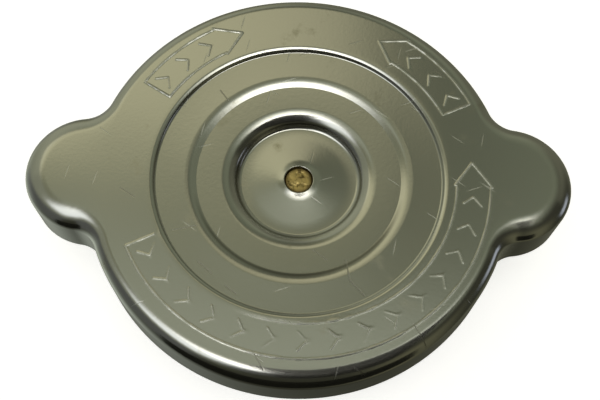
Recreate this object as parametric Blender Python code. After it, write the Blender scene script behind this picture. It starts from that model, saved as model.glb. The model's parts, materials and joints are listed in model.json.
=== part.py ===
"""Two-eared bayonet cap for an engine coolant reservoir, with its pressure and vacuum valves.

Units are metres and +Z is up. The ears lie along X, the locking claws along Y, and the cap stands
on the folded rim of its valve plate at z = 0. Every piece is a pressed, turned, moulded or wound
part of its own, and all of them share the vertical axis through the origin.
"""
import math

import bmesh
import bpy

# Gaps between pieces that touch, and clearances of pieces that run in each other
SEAT_GAP = 0.0003
RIVET_CLEARANCE = 0.00008
RIVET_END_PLAY = 0.0001
GUIDE_CLEARANCE = 0.0004

# Cover pressing: round top with two hollow ears, three ring steps and a well
COVER_RADIUS = 0.0400
COVER_SHEET = 0.0009
SKIRT_HEIGHT = 0.0110
RIM_BEND = 0.0030
EAR_REACH = 0.0118
EAR_TIP_RADIUS = 0.0116
EAR_FILLET = 0.0055
OUTER_STEP_RADIUS = 0.0271
OUTER_STEP_DEPTH = 0.00088
OUTER_STEP_RUN = 0.0016
MIDDLE_STEP_RADIUS = 0.0193
MIDDLE_STEP_DEPTH = 0.00042
MIDDLE_STEP_RUN = 0.0022
WELL_RADIUS = 0.0113
WELL_DEPTH = 0.0022
WELL_RUN = 0.0014
COLLAR_RISE = 0.00075
COLLAR_HOLE_RADIUS = 0.0027

# Locking cup inside the cover, with two claws that grip the filler neck
CUP_SHEET = 0.0009
CUP_EDGE_RECESS = 0.0005
CUP_BEND = 0.0016
CUP_HEM = 0.0014
CLAW_REACH = 0.0044
CLAW_HALF_ANGLE = 25.0
CLAW_CORNER_ANGLE = 4.0
BOSS_RADIUS = 0.0040
BOSS_SLOPE_RUN = 0.0024

# Centre rivet and the washers on it
RIVET_SHANK_RADIUS = 0.00195
RIVET_HEAD_CLEARANCE = 0.00015
RIVET_HEAD_RECESS = 0.00045
RIVET_FOOT_RADIUS = 0.0042
RIVET_FOOT_HEIGHT = 0.0015
THRUST_WASHER_RADIUS = 0.0095
THRUST_WASHER_SHEET = 0.0006
CAGE_WASHER_RADIUS = 0.0060
CAGE_WASHER_SHEET = 0.0008

# Spring disc, neck seal and the plate that carries the seal
DISC_SHEET = 0.0005
DISC_WALL_CLEARANCE = 0.0014
DISC_HUB_RADIUS = 0.0120
DISC_RIM_WIDTH = 0.0110
DISC_FLEX = 0.0006
NECK_SEAL_INSET = 0.0005
NECK_SEAL_WIDTH = 0.0098
NECK_SEAL_THICKNESS = 0.0020
NECK_SEAL_REBATE = 0.0004
SEAL_PLATE_SHEET = 0.0007
SEAL_PLATE_GRIP = 0.0020
SEAL_PLATE_RIM_WIDTH = 0.0034
SEAL_PLATE_SLOPE_RUN = 0.0040

# Valve cage, guide cup and pressure spring
CAGE_SHEET = 0.0007
CAGE_RADIUS = 0.0115
CAGE_FLANGE_WIDTH = 0.0014
CAGE_BEND = 0.0012
CAGE_WINDOWS = 4
CAGE_WINDOW_WIDTH = 0.0060
CAGE_WINDOW_MARGIN = 0.0026
GUIDE_SHEET = 0.0007
GUIDE_HEIGHT = 0.0075
GUIDE_BEND = 0.0010
GUIDE_FLANGE_CLEARANCE = 0.0005
VENT_COUNT = 4
VENT_RADIUS = 0.0012
VENT_CIRCLE_RADIUS = 0.0045
SPRING_WIRE_RADIUS = 0.0012
SPRING_LENGTH = 0.0180
SPRING_ACTIVE_TURNS = 3.5
SPRING_END_TURNS = 1.0
SPRING_GUIDE_CLEARANCE = 0.0022

# Pressure valve plate and its seal
PLATE_RADIUS = 0.0240
PLATE_SHEET = 0.0008
PLATE_BEND = 0.0011
PLATE_FOLD_WIDTH = 0.0031
PLATE_HOLE_RADIUS = 0.0065
SEAL_THICKNESS = 0.0032
SEAL_FACE_STAND = 0.0005
SEAL_LIP_THICKNESS = 0.0013
SEAL_STEP_RADIUS = 0.0130

# Vacuum valve in the middle of the pressure valve
VACUUM_DISC_RADIUS = 0.0105
VACUUM_DISC_THICKNESS = 0.0008
STEM_RADIUS = 0.0015
STEM_CLEARANCE = 0.0001
STEM_END = 0.0006
VACUUM_CAP_RADIUS = 0.0042
VACUUM_CAP_SHEET = 0.0008
VACUUM_SPRING_LENGTH = 0.0058
VACUUM_SPRING_WIRE_RADIUS = 0.00025
VACUUM_SPRING_RADIUS = 0.0030
VACUUM_SPRING_TURNS = 5.0

# Facets of the round pieces
SEGMENTS_LARGE = 40
SEGMENTS_MEDIUM = 32
SEGMENTS_SMALL = 24
SEGMENTS_PIN = 18

# Heights from the ground up, each from the piece below it
SEAL_BOTTOM = PLATE_SHEET + SEAT_GAP
SEAL_TOP = SEAL_BOTTOM + SEAL_THICKNESS
PLATE_TOP = SEAL_TOP + SEAT_GAP + PLATE_SHEET
GUIDE_BOTTOM = PLATE_TOP + SEAT_GAP
GUIDE_FLOOR = GUIDE_BOTTOM + GUIDE_SHEET
GUIDE_TOP = GUIDE_BOTTOM + GUIDE_HEIGHT
CAGE_FLANGE_TOP = GUIDE_TOP - GUIDE_SHEET - SEAT_GAP
SPRING_BOTTOM = PLATE_TOP + SEAT_GAP
SPRING_TOP = SPRING_BOTTOM + SPRING_LENGTH
SEAL_PLATE_TOP = SPRING_TOP + SEAT_GAP + SEAL_PLATE_SHEET
CAGE_TOP = SEAL_PLATE_TOP - SEAL_PLATE_SHEET - SEAT_GAP
CAGE_WASHER_TOP = CAGE_TOP - CAGE_SHEET - SEAT_GAP
RIVET_FOOT_TOP = CAGE_WASHER_TOP - CAGE_WASHER_SHEET - SEAT_GAP
DISC_TOP = SEAL_PLATE_TOP + SEAT_GAP + DISC_SHEET
THRUST_WASHER_TOP = DISC_TOP + SEAT_GAP + THRUST_WASHER_SHEET
CUP_WELL_TOP = THRUST_WASHER_TOP + SEAT_GAP + CUP_SHEET
WELL_FLOOR = CUP_WELL_TOP + SEAT_GAP + COVER_SHEET
PLATEAU = WELL_FLOOR + WELL_DEPTH
MIDDLE_FLAT = PLATEAU + MIDDLE_STEP_DEPTH
COVER_TOP = MIDDLE_FLAT + OUTER_STEP_DEPTH
SKIRT_BOTTOM = COVER_TOP - SKIRT_HEIGHT
COLLAR_TOP = WELL_FLOOR + COLLAR_RISE
CUP_TOP = PLATEAU - COVER_SHEET - SEAT_GAP
BOSS_SHARE = (WELL_RADIUS - BOSS_RADIUS) / (WELL_RADIUS - COLLAR_HOLE_RADIUS)
BOSS_TOP = CUP_WELL_TOP + COLLAR_RISE * BOSS_SHARE
CUP_BOTTOM = SKIRT_BOTTOM + CUP_EDGE_RECESS
DISC_RIM_TOP = CUP_TOP - CUP_SHEET - DISC_FLEX
NECK_SEAL_TOP = DISC_RIM_TOP - DISC_SHEET - SEAT_GAP
NECK_SEAL_BOTTOM = NECK_SEAL_TOP - NECK_SEAL_THICKNESS
SEAL_PLATE_RIM_TOP = NECK_SEAL_BOTTOM + NECK_SEAL_REBATE - SEAT_GAP
VACUUM_DISC_TOP = SEAL_TOP - SEAL_LIP_THICKNESS - SEAT_GAP
VACUUM_SPRING_BOTTOM = GUIDE_FLOOR + SEAT_GAP
VACUUM_CAP_BOTTOM = VACUUM_SPRING_BOTTOM + VACUUM_SPRING_LENGTH + SEAT_GAP
STEM_TOP = VACUUM_CAP_BOTTOM + VACUUM_CAP_SHEET + STEM_END

# Radii that follow from the piece outside or inside
RIVET_HOLE_RADIUS = RIVET_SHANK_RADIUS + RIVET_CLEARANCE
RIVET_HEAD_RADIUS = COLLAR_HOLE_RADIUS - RIVET_HEAD_CLEARANCE
CUP_RADIUS = COVER_RADIUS - COVER_SHEET - SEAT_GAP
CUP_INNER_RADIUS = CUP_RADIUS - CUP_SHEET
CUP_WELL_RADIUS = WELL_RADIUS + WELL_RUN + COVER_SHEET
DISC_RADIUS = CUP_INNER_RADIUS - DISC_WALL_CLEARANCE
NECK_SEAL_RADIUS = DISC_RADIUS - NECK_SEAL_INSET
NECK_SEAL_BORE = NECK_SEAL_RADIUS - NECK_SEAL_WIDTH
SEAL_PLATE_RADIUS = NECK_SEAL_BORE + SEAL_PLATE_GRIP
CAGE_FLANGE_RADIUS = CAGE_RADIUS + CAGE_FLANGE_WIDTH
GUIDE_RADIUS = CAGE_FLANGE_RADIUS + GUIDE_FLANGE_CLEARANCE + GUIDE_SHEET
GUIDE_LIP_RADIUS = CAGE_RADIUS + GUIDE_CLEARANCE
SPRING_RADIUS = GUIDE_RADIUS + SPRING_GUIDE_CLEARANCE + SPRING_WIRE_RADIUS
STEM_HOLE_RADIUS = STEM_RADIUS + STEM_CLEARANCE
SEAL_RADIUS = PLATE_RADIUS - PLATE_SHEET - SEAT_GAP


def direction(start, end):
    """Unit vector from one section point to another."""
    run = end[0] - start[0]
    rise = end[1] - start[1]
    length = math.hypot(run, rise)
    return run / length, rise / length


def turn_angle(before, after):
    """Signed angle between two directions, positive to the left."""
    cross = before[0] * after[1] - before[1] * after[0]
    dot = before[0] * after[0] + before[1] * after[1]
    return math.atan2(cross, dot)


def rounded_path(corners):
    """Points of a path whose corners (r, z, bend radius, steps) are rounded by arcs."""
    points = [corners[0][:2]]
    for before, corner, after in zip(corners, corners[1:], corners[2:]):
        r, z, bend, steps = corner
        inward = direction(before, corner)
        outward = direction(corner, after)
        turn = turn_angle(inward, outward)
        room = 0.48 * min(math.dist(before[:2], (r, z)), math.dist((r, z), after[:2]))
        tangent = min(abs(bend * math.tan(turn / 2.0)), room)
        if steps == 0 or tangent < 1e-6:
            points.append((r, z))
            continue
        bend = tangent / abs(math.tan(turn / 2.0))
        side = math.copysign(1.0, turn)
        centre_r = r - inward[0] * tangent - inward[1] * bend * side
        centre_z = z - inward[1] * tangent + inward[0] * bend * side
        first = math.atan2(-inward[0] * side, inward[1] * side)
        for step in range(steps + 1):
            angle = first + turn * step / steps
            points.append((centre_r + bend * math.cos(angle), centre_z + bend * math.sin(angle)))
    points.append(corners[-1][:2])
    return points


def offset_corners(corners, thickness):
    """The same corners moved to the other face of a sheet that lies right of the path."""
    directions = [direction(a, b) for a, b in zip(corners, corners[1:])]
    moved = []
    for index, (r, z, bend, steps) in enumerate(corners):
        before = directions[max(index - 1, 0)]
        after = directions[min(index, len(directions) - 1)]
        turn = turn_angle(before, after)
        normal_r = before[1] + after[1]
        normal_z = -before[0] - after[0]
        length = math.hypot(normal_r, normal_z)
        reach = thickness / math.cos(turn / 2.0) / length
        inner_bend = max(bend + math.copysign(thickness, turn), 0.0)
        inner_steps = max(steps - 1, 0) if inner_bend > 0.4 * thickness else 0
        moved.append((r + normal_r * reach, z + normal_z * reach, inner_bend, inner_steps))
    return moved


def sheet_section(corners, thickness):
    """Closed section of a pressed sheet: its outer face out, its inner face back."""
    outer = rounded_path(corners)
    inner = rounded_path(offset_corners(corners, thickness))
    return outer + inner[::-1]


def corner(r, z, bend=0.0, steps=0):
    return r, z, bend, steps


def link(name, mesh, material, parent, height):
    """Make a named object of a mesh, shaded smooth, at a height on the common axis."""
    mesh.shade_smooth()
    mesh.set_sharp_from_angle(angle=math.radians(32.0))
    mesh.materials.append(material)
    piece = bpy.data.objects.new(name, mesh)
    bpy.context.scene.collection.objects.link(piece)
    piece.parent = parent
    piece.location = (0.0, 0.0, height)
    return piece


def close_mesh(name, bm):
    """Merge the seam, turn every face outwards and keep the result as a mesh."""
    bmesh.ops.remove_doubles(bm, verts=bm.verts, dist=1e-7)
    bmesh.ops.recalc_face_normals(bm, faces=bm.faces)
    mesh = bpy.data.meshes.new(name)
    bm.to_mesh(mesh)
    bm.free()
    return mesh


def turned(name, section, segments, material, parent, height):
    """Spin a closed section about the axis, with its heights measured from the given one."""
    bm = bmesh.new()
    verts = [bm.verts.new((r, 0.0, z - height)) for r, z in section]
    edges = [bm.edges.new((a, b)) for a, b in zip(verts, verts[1:] + verts[:1])]
    bmesh.ops.spin(bm, geom=verts + edges, cent=(0.0, 0.0, 0.0), axis=(0.0, 0.0, 1.0),
                   angle=math.tau, steps=segments, use_merge=True, use_duplicate=False)
    bmesh.ops.dissolve_degenerate(bm, dist=1e-7, edges=bm.edges)
    return link(name, close_mesh(name, bm), material, parent, height)


def add_loop(bm, points):
    return [bm.verts.new(point) for point in points]


def skin_equal(bm, lower, upper):
    """Quads between two loops with the same number of points."""
    count = len(lower)
    for index in range(count):
        following = (index + 1) % count
        bm.faces.new((lower[index], lower[following], upper[following], upper[index]))


def skin_by_angle(bm, inner, outer):
    """Triangles between two flat loops with different counts, walked round side by side."""
    def angle(vert):
        return math.atan2(vert.co.y, vert.co.x) % math.tau

    inner = sorted(inner, key=angle)
    outer = sorted(outer, key=angle)
    i = 0
    j = 0
    while i < len(inner) or j < len(outer):
        next_inner = angle(inner[i + 1]) if i + 1 < len(inner) else angle(inner[0]) + math.tau
        next_outer = angle(outer[j + 1]) if j + 1 < len(outer) else angle(outer[0]) + math.tau
        step_inner = j == len(outer) or (i < len(inner) and next_inner <= next_outer)
        here_inner = inner[i % len(inner)]
        here_outer = outer[j % len(outer)]
        if step_inner:
            bm.faces.new((here_inner, inner[(i + 1) % len(inner)], here_outer))
            i += 1
        else:
            bm.faces.new((here_inner, outer[(j + 1) % len(outer)], here_outer))
            j += 1


def circle_points(radius, z, count):
    step = math.tau / count
    return [(radius * math.cos(k * step), radius * math.sin(k * step), z) for k in range(count)]


def arc_points(centre, radius, first, last, steps):
    """Points on an arc, without its last one, which the next arc starts with."""
    points = []
    for step in range(steps):
        angle = first + (last - first) * step / steps
        points.append((centre[0] + radius * math.cos(angle), centre[1] + radius * math.sin(angle)))
    return points


def cover_outline(inset, z):
    """Outline of the cover moved inwards by an inset: a circle, two ears and four fillets."""
    ear_centre = COVER_RADIUS + EAR_REACH - EAR_TIP_RADIUS
    to_axis = COVER_RADIUS + EAR_FILLET
    to_ear = EAR_TIP_RADIUS + EAR_FILLET
    fillet_x = (to_axis ** 2 - to_ear ** 2 + ear_centre ** 2) / (2.0 * ear_centre)
    fillet_y = math.sqrt(to_axis ** 2 - fillet_x ** 2)
    rim_angle = math.atan2(fillet_y, fillet_x)
    ear_angle = math.atan2(fillet_y, fillet_x - ear_centre)
    points = []
    for turn in (0.0, math.pi):
        quarter = arc_points((ear_centre, 0.0), EAR_TIP_RADIUS - inset, -ear_angle, ear_angle, 10)
        quarter += arc_points((fillet_x, fillet_y), EAR_FILLET + inset,
                              ear_angle + math.pi, rim_angle + math.pi, 3)
        quarter += arc_points((0.0, 0.0), COVER_RADIUS - inset, rim_angle, math.pi - rim_angle, 18)
        quarter += arc_points((-fillet_x, fillet_y), EAR_FILLET + inset,
                              -rim_angle, -ear_angle, 3)
        cos_turn = math.cos(turn)
        points += [(x * cos_turn, y * cos_turn, z) for x, y in quarter]
    return points


def cover_face():
    """Corners of the cover's top face, from the collar's hole out to the flat ring."""
    return [
        corner(COLLAR_HOLE_RADIUS, COLLAR_TOP),
        corner(WELL_RADIUS, WELL_FLOOR, 0.0003, 0),
        corner(WELL_RADIUS + WELL_RUN, PLATEAU, 0.0016, 3),
        corner(MIDDLE_STEP_RADIUS, PLATEAU, 0.0, 0),
        corner(MIDDLE_STEP_RADIUS + MIDDLE_STEP_RUN, MIDDLE_FLAT, 0.0040, 1),
        corner(OUTER_STEP_RADIUS, MIDDLE_FLAT, 0.0, 0),
        corner(OUTER_STEP_RADIUS + OUTER_STEP_RUN * 0.35, COVER_TOP, 0.0016, 2),
        corner(OUTER_STEP_RADIUS + OUTER_STEP_RUN * 2.0, COVER_TOP),
    ]


def rim_loops(inset, top, bend, steps):
    """Inset and height of each outline loop round the bend between top and skirt."""
    loops = []
    for step in range(steps + 1):
        angle = math.pi / 2.0 * step / steps
        loops.append((inset + bend * (1.0 - math.sin(angle)), top - bend * (1.0 - math.cos(angle))))
    return loops


def make_cover(material, parent):
    """The cover: turned steps in the middle, lofted into the eared outline and its skirt."""
    height = SKIRT_BOTTOM
    top_path = rounded_path(cover_face())
    under_path = rounded_path(offset_corners(cover_face(), COVER_SHEET))
    bm = bmesh.new()
    top = [add_loop(bm, circle_points(r, z - height, SEGMENTS_LARGE)) for r, z in top_path]
    under = [add_loop(bm, circle_points(r, z - height, SEGMENTS_LARGE)) for r, z in under_path]
    outer_rim = rim_loops(0.0, COVER_TOP, RIM_BEND, 4) + [(0.0, SKIRT_BOTTOM)]
    inner_bend = max(RIM_BEND - COVER_SHEET, 0.0002)
    inner_rim = rim_loops(COVER_SHEET, COVER_TOP - COVER_SHEET, inner_bend, 2)
    inner_rim.append((COVER_SHEET, SKIRT_BOTTOM))
    outside = [add_loop(bm, cover_outline(inset, z - height)) for inset, z in outer_rim]
    inside = [add_loop(bm, cover_outline(inset, z - height)) for inset, z in inner_rim]
    for loops in (top, under, outside, inside):
        for lower, upper in zip(loops, loops[1:]):
            skin_equal(bm, lower, upper)
    skin_equal(bm, top[0], under[0])
    skin_equal(bm, outside[-1], inside[-1])
    skin_by_angle(bm, top[-1], outside[0])
    skin_by_angle(bm, under[-1], inside[0])
    return link("cover_shell", close_mesh("cover_shell", bm), material, parent, height)


def cup_section(edge_radius):
    """Section of the locking cup, whose turned-in lower edge ends at the given radius."""
    slope_radius = CUP_WELL_RADIUS + (CUP_TOP - CUP_WELL_TOP) * 0.6
    return sheet_section([
        corner(RIVET_HOLE_RADIUS, BOSS_TOP),
        corner(BOSS_RADIUS, BOSS_TOP),
        corner(BOSS_RADIUS + BOSS_SLOPE_RUN, CUP_WELL_TOP),
        corner(CUP_WELL_RADIUS, CUP_WELL_TOP),
        corner(slope_radius, CUP_TOP),
        corner(CUP_RADIUS, CUP_TOP, CUP_BEND, 2),
        corner(CUP_RADIUS, CUP_BOTTOM, CUP_SHEET * 1.2, 2),
        corner(edge_radius, CUP_BOTTOM),
    ], CUP_SHEET)


def claw_edge(angle):
    """Radius of the cup's turned-in edge at an angle: a narrow hem, and two rounded claws."""
    hem_radius = CUP_INNER_RADIUS - CUP_HEM
    claw_radius = CUP_INNER_RADIUS - CLAW_REACH
    from_claw = abs(abs(math.degrees(math.remainder(angle, math.tau))) - 90.0)
    share = (from_claw - CLAW_HALF_ANGLE) / CLAW_CORNER_ANGLE
    share = min(max(share, 0.0), 1.0)
    return claw_radius + (hem_radius - claw_radius) * (1.0 - math.sqrt(1.0 - share ** 2))


def cup_stations():
    """Angles of the cup's sections: even ones, and closer ones round the claws' corners."""
    step = 360.0 / SEGMENTS_MEDIUM
    closer = [CLAW_HALF_ANGLE + CLAW_CORNER_ANGLE * share for share in (0.0, 0.75, 1.0)]
    corners = [claw + side * offset for claw in (90.0, 270.0) for side in (-1, 1) for offset in closer]
    even = [k * step for k in range(SEGMENTS_MEDIUM)]
    kept = [a for a in even if all(abs(a - other) > step * 0.3 for other in corners)]
    return sorted(kept + corners)


def make_locking_cup(material, parent):
    """The cup: one section at each station, joined all the way round."""
    height = CUP_BOTTOM
    bm = bmesh.new()
    ribs = []
    for degrees in cup_stations():
        angle = math.radians(degrees)
        section = cup_section(claw_edge(angle))
        cos_angle = math.cos(angle)
        sin_angle = math.sin(angle)
        ribs.append(add_loop(bm, [(r * cos_angle, r * sin_angle, z - height) for r, z in section]))
    for rib, following in zip(ribs, ribs[1:] + ribs[:1]):
        skin_equal(bm, rib, following)
    return link("locking_cup", close_mesh("locking_cup", bm), material, parent, height)


def make_rivet(material, parent):
    """The centre rivet: closed head in the collar, shank, and a foot under the cage."""
    head_top = COLLAR_TOP - RIVET_HEAD_RECESS
    head_under = BOSS_TOP + RIVET_END_PLAY
    foot_bottom = RIVET_FOOT_TOP - RIVET_FOOT_HEIGHT
    section = [
        (0.0, head_top),
        (RIVET_HEAD_RADIUS * 0.86, head_top),
        (RIVET_HEAD_RADIUS, head_top - 0.00025),
        (RIVET_HEAD_RADIUS, head_under),
        (RIVET_SHANK_RADIUS, head_under),
        (RIVET_SHANK_RADIUS, RIVET_FOOT_TOP),
        (RIVET_FOOT_RADIUS, RIVET_FOOT_TOP),
        (RIVET_FOOT_RADIUS * 0.94, RIVET_FOOT_TOP - RIVET_FOOT_HEIGHT * 0.55),
        (RIVET_FOOT_RADIUS * 0.62, foot_bottom),
        (0.0, foot_bottom),
    ]
    turned("centre_rivet", section, SEGMENTS_PIN, material, parent, RIVET_FOOT_TOP)


def make_washer(name, bore, radius, top, thickness, material, parent):
    section = [(bore, top), (radius, top), (radius, top - thickness), (bore, top - thickness)]
    turned(name, section, SEGMENTS_PIN, material, parent, top)


def make_spring_disc(material, parent):
    """The dished spring-steel disc that presses the neck seal down."""
    rim_radius = DISC_RADIUS - DISC_RIM_WIDTH
    section = sheet_section([
        corner(RIVET_HOLE_RADIUS, DISC_TOP),
        corner(DISC_HUB_RADIUS, DISC_TOP),
        corner(rim_radius, DISC_RIM_TOP),
        corner(DISC_RADIUS, DISC_RIM_TOP),
    ], DISC_SHEET)
    turned("spring_disc", section, SEGMENTS_LARGE, material, parent, DISC_TOP)


def make_neck_seal(material, parent):
    """The rubber ring that seals the neck's mouth, with a rebate where the plate's rim grips it."""
    edge = NECK_SEAL_THICKNESS * 0.18
    rebate_radius = SEAL_PLATE_RADIUS + SEAT_GAP
    section = [
        (NECK_SEAL_BORE, NECK_SEAL_TOP),
        (NECK_SEAL_RADIUS - edge, NECK_SEAL_TOP),
        (NECK_SEAL_RADIUS, NECK_SEAL_TOP - edge),
        (NECK_SEAL_RADIUS, NECK_SEAL_BOTTOM + edge),
        (NECK_SEAL_RADIUS - edge, NECK_SEAL_BOTTOM),
        (rebate_radius, NECK_SEAL_BOTTOM),
        (rebate_radius, NECK_SEAL_BOTTOM + NECK_SEAL_REBATE),
        (NECK_SEAL_BORE, NECK_SEAL_BOTTOM + NECK_SEAL_REBATE),
    ]
    turned("neck_seal", section, SEGMENTS_LARGE, material, parent, NECK_SEAL_BOTTOM)


def make_seal_plate(material, parent):
    """The plate whose raised rim holds the neck seal, and whose middle seats the spring."""
    rim_inner = SEAL_PLATE_RADIUS - SEAL_PLATE_RIM_WIDTH
    section = sheet_section([
        corner(RIVET_HOLE_RADIUS, SEAL_PLATE_TOP),
        corner(rim_inner - SEAL_PLATE_SLOPE_RUN, SEAL_PLATE_TOP),
        corner(rim_inner, SEAL_PLATE_RIM_TOP),
        corner(SEAL_PLATE_RADIUS, SEAL_PLATE_RIM_TOP),
    ], SEAL_PLATE_SHEET)
    turned("seal_plate", section, SEGMENTS_LARGE, material, parent, SEAL_PLATE_TOP)


def add_cutter(name, bm, parent, height):
    """A wire-only object that a Boolean takes away from a piece."""
    mesh = close_mesh(name, bm)
    cutter = bpy.data.objects.new(name, mesh)
    bpy.context.scene.collection.objects.link(cutter)
    cutter.parent = parent
    cutter.location = (0.0, 0.0, height)
    cutter.hide_render = True
    cutter.display_type = "WIRE"
    return cutter


def cut(piece, cutter):
    modifier = piece.modifiers.new("openings", "BOOLEAN")
    modifier.operation = "DIFFERENCE"
    modifier.solver = "EXACT"
    modifier.object = cutter


def box_points(radius_in, radius_out, half_width, low, high, angle):
    """Corners of an upright box that points out from the axis."""
    points = []
    for z in (low, high):
        for along, across in ((radius_in, -half_width), (radius_out, -half_width),
                              (radius_out, half_width), (radius_in, half_width)):
            x = along * math.cos(angle) - across * math.sin(angle)
            y = along * math.sin(angle) + across * math.cos(angle)
            points.append((x, y, z))
    return points


def make_cage(material, parent):
    """The valve cage: an inverted cup with an outward flange and four windows."""
    section = sheet_section([
        corner(RIVET_HOLE_RADIUS, CAGE_TOP),
        corner(CAGE_RADIUS, CAGE_TOP, CAGE_BEND, 2),
        corner(CAGE_RADIUS, CAGE_FLANGE_TOP),
        corner(CAGE_FLANGE_RADIUS, CAGE_FLANGE_TOP),
    ], CAGE_SHEET)
    cage = turned("valve_cage", section, SEGMENTS_SMALL, material, parent, CAGE_FLANGE_TOP)
    low = CAGE_WINDOW_MARGIN
    high = CAGE_TOP - CAGE_FLANGE_TOP - CAGE_WINDOW_MARGIN
    bm = bmesh.new()
    for k in range(CAGE_WINDOWS):
        angle = math.tau * (k + 0.5) / CAGE_WINDOWS
        points = box_points(CAGE_RADIUS - 3.0 * CAGE_SHEET, CAGE_RADIUS + 2.0 * CAGE_SHEET,
                            CAGE_WINDOW_WIDTH / 2.0, low, high, angle)
        verts = add_loop(bm, points)
        bm.faces.new(verts[0:4])
        bm.faces.new(verts[4:8])
        skin_equal(bm, verts[0:4], verts[4:8])
    cut(cage, add_cutter("cage_window_cutter", bm, parent, CAGE_FLANGE_TOP))


def make_guide_cup(material, parent):
    """The guide cup: slides on the cage's flange, which its turned-in lip keeps captive."""
    section = sheet_section([
        corner(GUIDE_LIP_RADIUS, GUIDE_TOP),
        corner(GUIDE_RADIUS, GUIDE_TOP, GUIDE_BEND, 2),
        corner(GUIDE_RADIUS, GUIDE_BOTTOM, GUIDE_BEND, 2),
        corner(STEM_HOLE_RADIUS, GUIDE_BOTTOM),
    ], GUIDE_SHEET)
    cup = turned("guide_cup", section, SEGMENTS_SMALL, material, parent, GUIDE_BOTTOM)
    bm = bmesh.new()
    for k in range(VENT_COUNT):
        angle = math.tau * (k + 0.5) / VENT_COUNT
        x = VENT_CIRCLE_RADIUS * math.cos(angle)
        y = VENT_CIRCLE_RADIUS * math.sin(angle)
        low = [(px + x, py + y, z) for px, py, z in circle_points(VENT_RADIUS, -GUIDE_SHEET, 12)]
        high = [(px, py, 2.0 * GUIDE_SHEET) for px, py, z in low]
        lower = add_loop(bm, low)
        upper = add_loop(bm, high)
        bm.faces.new(lower)
        bm.faces.new(upper)
        skin_equal(bm, lower, upper)
    cut(cup, add_cutter("vent_cutter", bm, parent, GUIDE_BOTTOM))


def coil_centre(radius, low, high, active_turns, end_turns, share, end_pitch):
    """Point of a coil's centre line: close end turns and even ones between them."""
    turns = active_turns + 2.0 * end_turns
    turn = share * turns
    active_pitch = (high - low - 2.0 * end_turns * end_pitch) / active_turns
    closed_low = min(turn, end_turns)
    active = min(max(turn - end_turns, 0.0), active_turns)
    closed_high = max(turn - end_turns - active_turns, 0.0)
    z = low + (closed_low + closed_high) * end_pitch + active * active_pitch
    angle = math.tau * turn
    return radius * math.cos(angle), radius * math.sin(angle), z


def make_spring(name, radius, wire, low, high, active_turns, end_turns, steps, sides,
                material, parent, height):
    """A coil spring: a ring of wire points swept along the centre line, with closed ends."""
    end_pitch = wire * 2.25
    turns = active_turns + 2.0 * end_turns
    count = round(turns * steps)
    bm = bmesh.new()
    rings = []
    for index in range(count + 1):
        share = index / count
        x, y, z = coil_centre(radius, low + wire, high - wire, active_turns, end_turns, share,
                              end_pitch)
        angle = math.atan2(y, x)
        ring = []
        for side in range(sides):
            around = math.tau * (side + 0.5) / sides
            reach = radius + wire * math.cos(around)
            ring.append((reach * math.cos(angle), reach * math.sin(angle),
                         z + wire * math.sin(around) - height))
        rings.append(add_loop(bm, ring))
    for ring, following in zip(rings, rings[1:]):
        skin_equal(bm, ring, following)
    bm.faces.new(rings[0])
    bm.faces.new(rings[-1])
    link(name, close_mesh(name, bm), material, parent, height)


def make_valve_plate(material, parent):
    """The pressure valve's plate, whose rim is folded under the edge of the seal."""
    section = sheet_section([
        corner(PLATE_HOLE_RADIUS, PLATE_TOP),
        corner(PLATE_RADIUS, PLATE_TOP, PLATE_BEND, 2),
        corner(PLATE_RADIUS, 0.0, PLATE_BEND, 2),
        corner(PLATE_RADIUS - PLATE_FOLD_WIDTH, 0.0),
    ], PLATE_SHEET)
    turned("valve_plate", section, SEGMENTS_MEDIUM, material, parent, 0.0)


def make_pressure_seal(material, parent):
    """The moulded seal: thick where the neck's seat meets it, thin where the vacuum disc does."""
    step_height = SEAL_TOP - SEAL_LIP_THICKNESS
    face_radius = PLATE_RADIUS - PLATE_FOLD_WIDTH - SEAT_GAP
    face_height = SEAL_BOTTOM - SEAL_FACE_STAND
    section = [
        (PLATE_HOLE_RADIUS, SEAL_TOP),
        (SEAL_RADIUS - PLATE_SHEET * 0.5, SEAL_TOP),
        (SEAL_RADIUS, SEAL_TOP - PLATE_SHEET * 0.5),
        (SEAL_RADIUS, SEAL_BOTTOM + PLATE_SHEET * 0.5),
        (SEAL_RADIUS - PLATE_SHEET * 0.5, SEAL_BOTTOM),
        (face_radius, SEAL_BOTTOM),
        (face_radius, face_height),
        (SEAL_STEP_RADIUS, face_height),
        (SEAL_STEP_RADIUS, step_height),
        (PLATE_HOLE_RADIUS, step_height),
    ]
    turned("pressure_seal", section, SEGMENTS_MEDIUM, material, parent, SEAL_BOTTOM)


def make_vacuum_valve(material, parent):
    """The vacuum valve: a turned disc with its stem, which passes up through the guide cup."""
    disc_bottom = VACUUM_DISC_TOP - VACUUM_DISC_THICKNESS
    section = [
        (0.0, STEM_TOP),
        (STEM_RADIUS * 0.7, STEM_TOP),
        (STEM_RADIUS, STEM_TOP - STEM_RADIUS * 0.3),
        (STEM_RADIUS, VACUUM_DISC_TOP + STEM_RADIUS * 0.3),
        (STEM_RADIUS * 1.3, VACUUM_DISC_TOP),
        (VACUUM_DISC_RADIUS, VACUUM_DISC_TOP),
        (VACUUM_DISC_RADIUS, VACUUM_DISC_TOP - VACUUM_DISC_THICKNESS * 0.6),
        (VACUUM_DISC_RADIUS - VACUUM_DISC_THICKNESS * 0.6, disc_bottom),
        (0.0, disc_bottom),
    ]
    turned("vacuum_valve", section, SEGMENTS_SMALL, material, parent, VACUUM_DISC_TOP)


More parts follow.
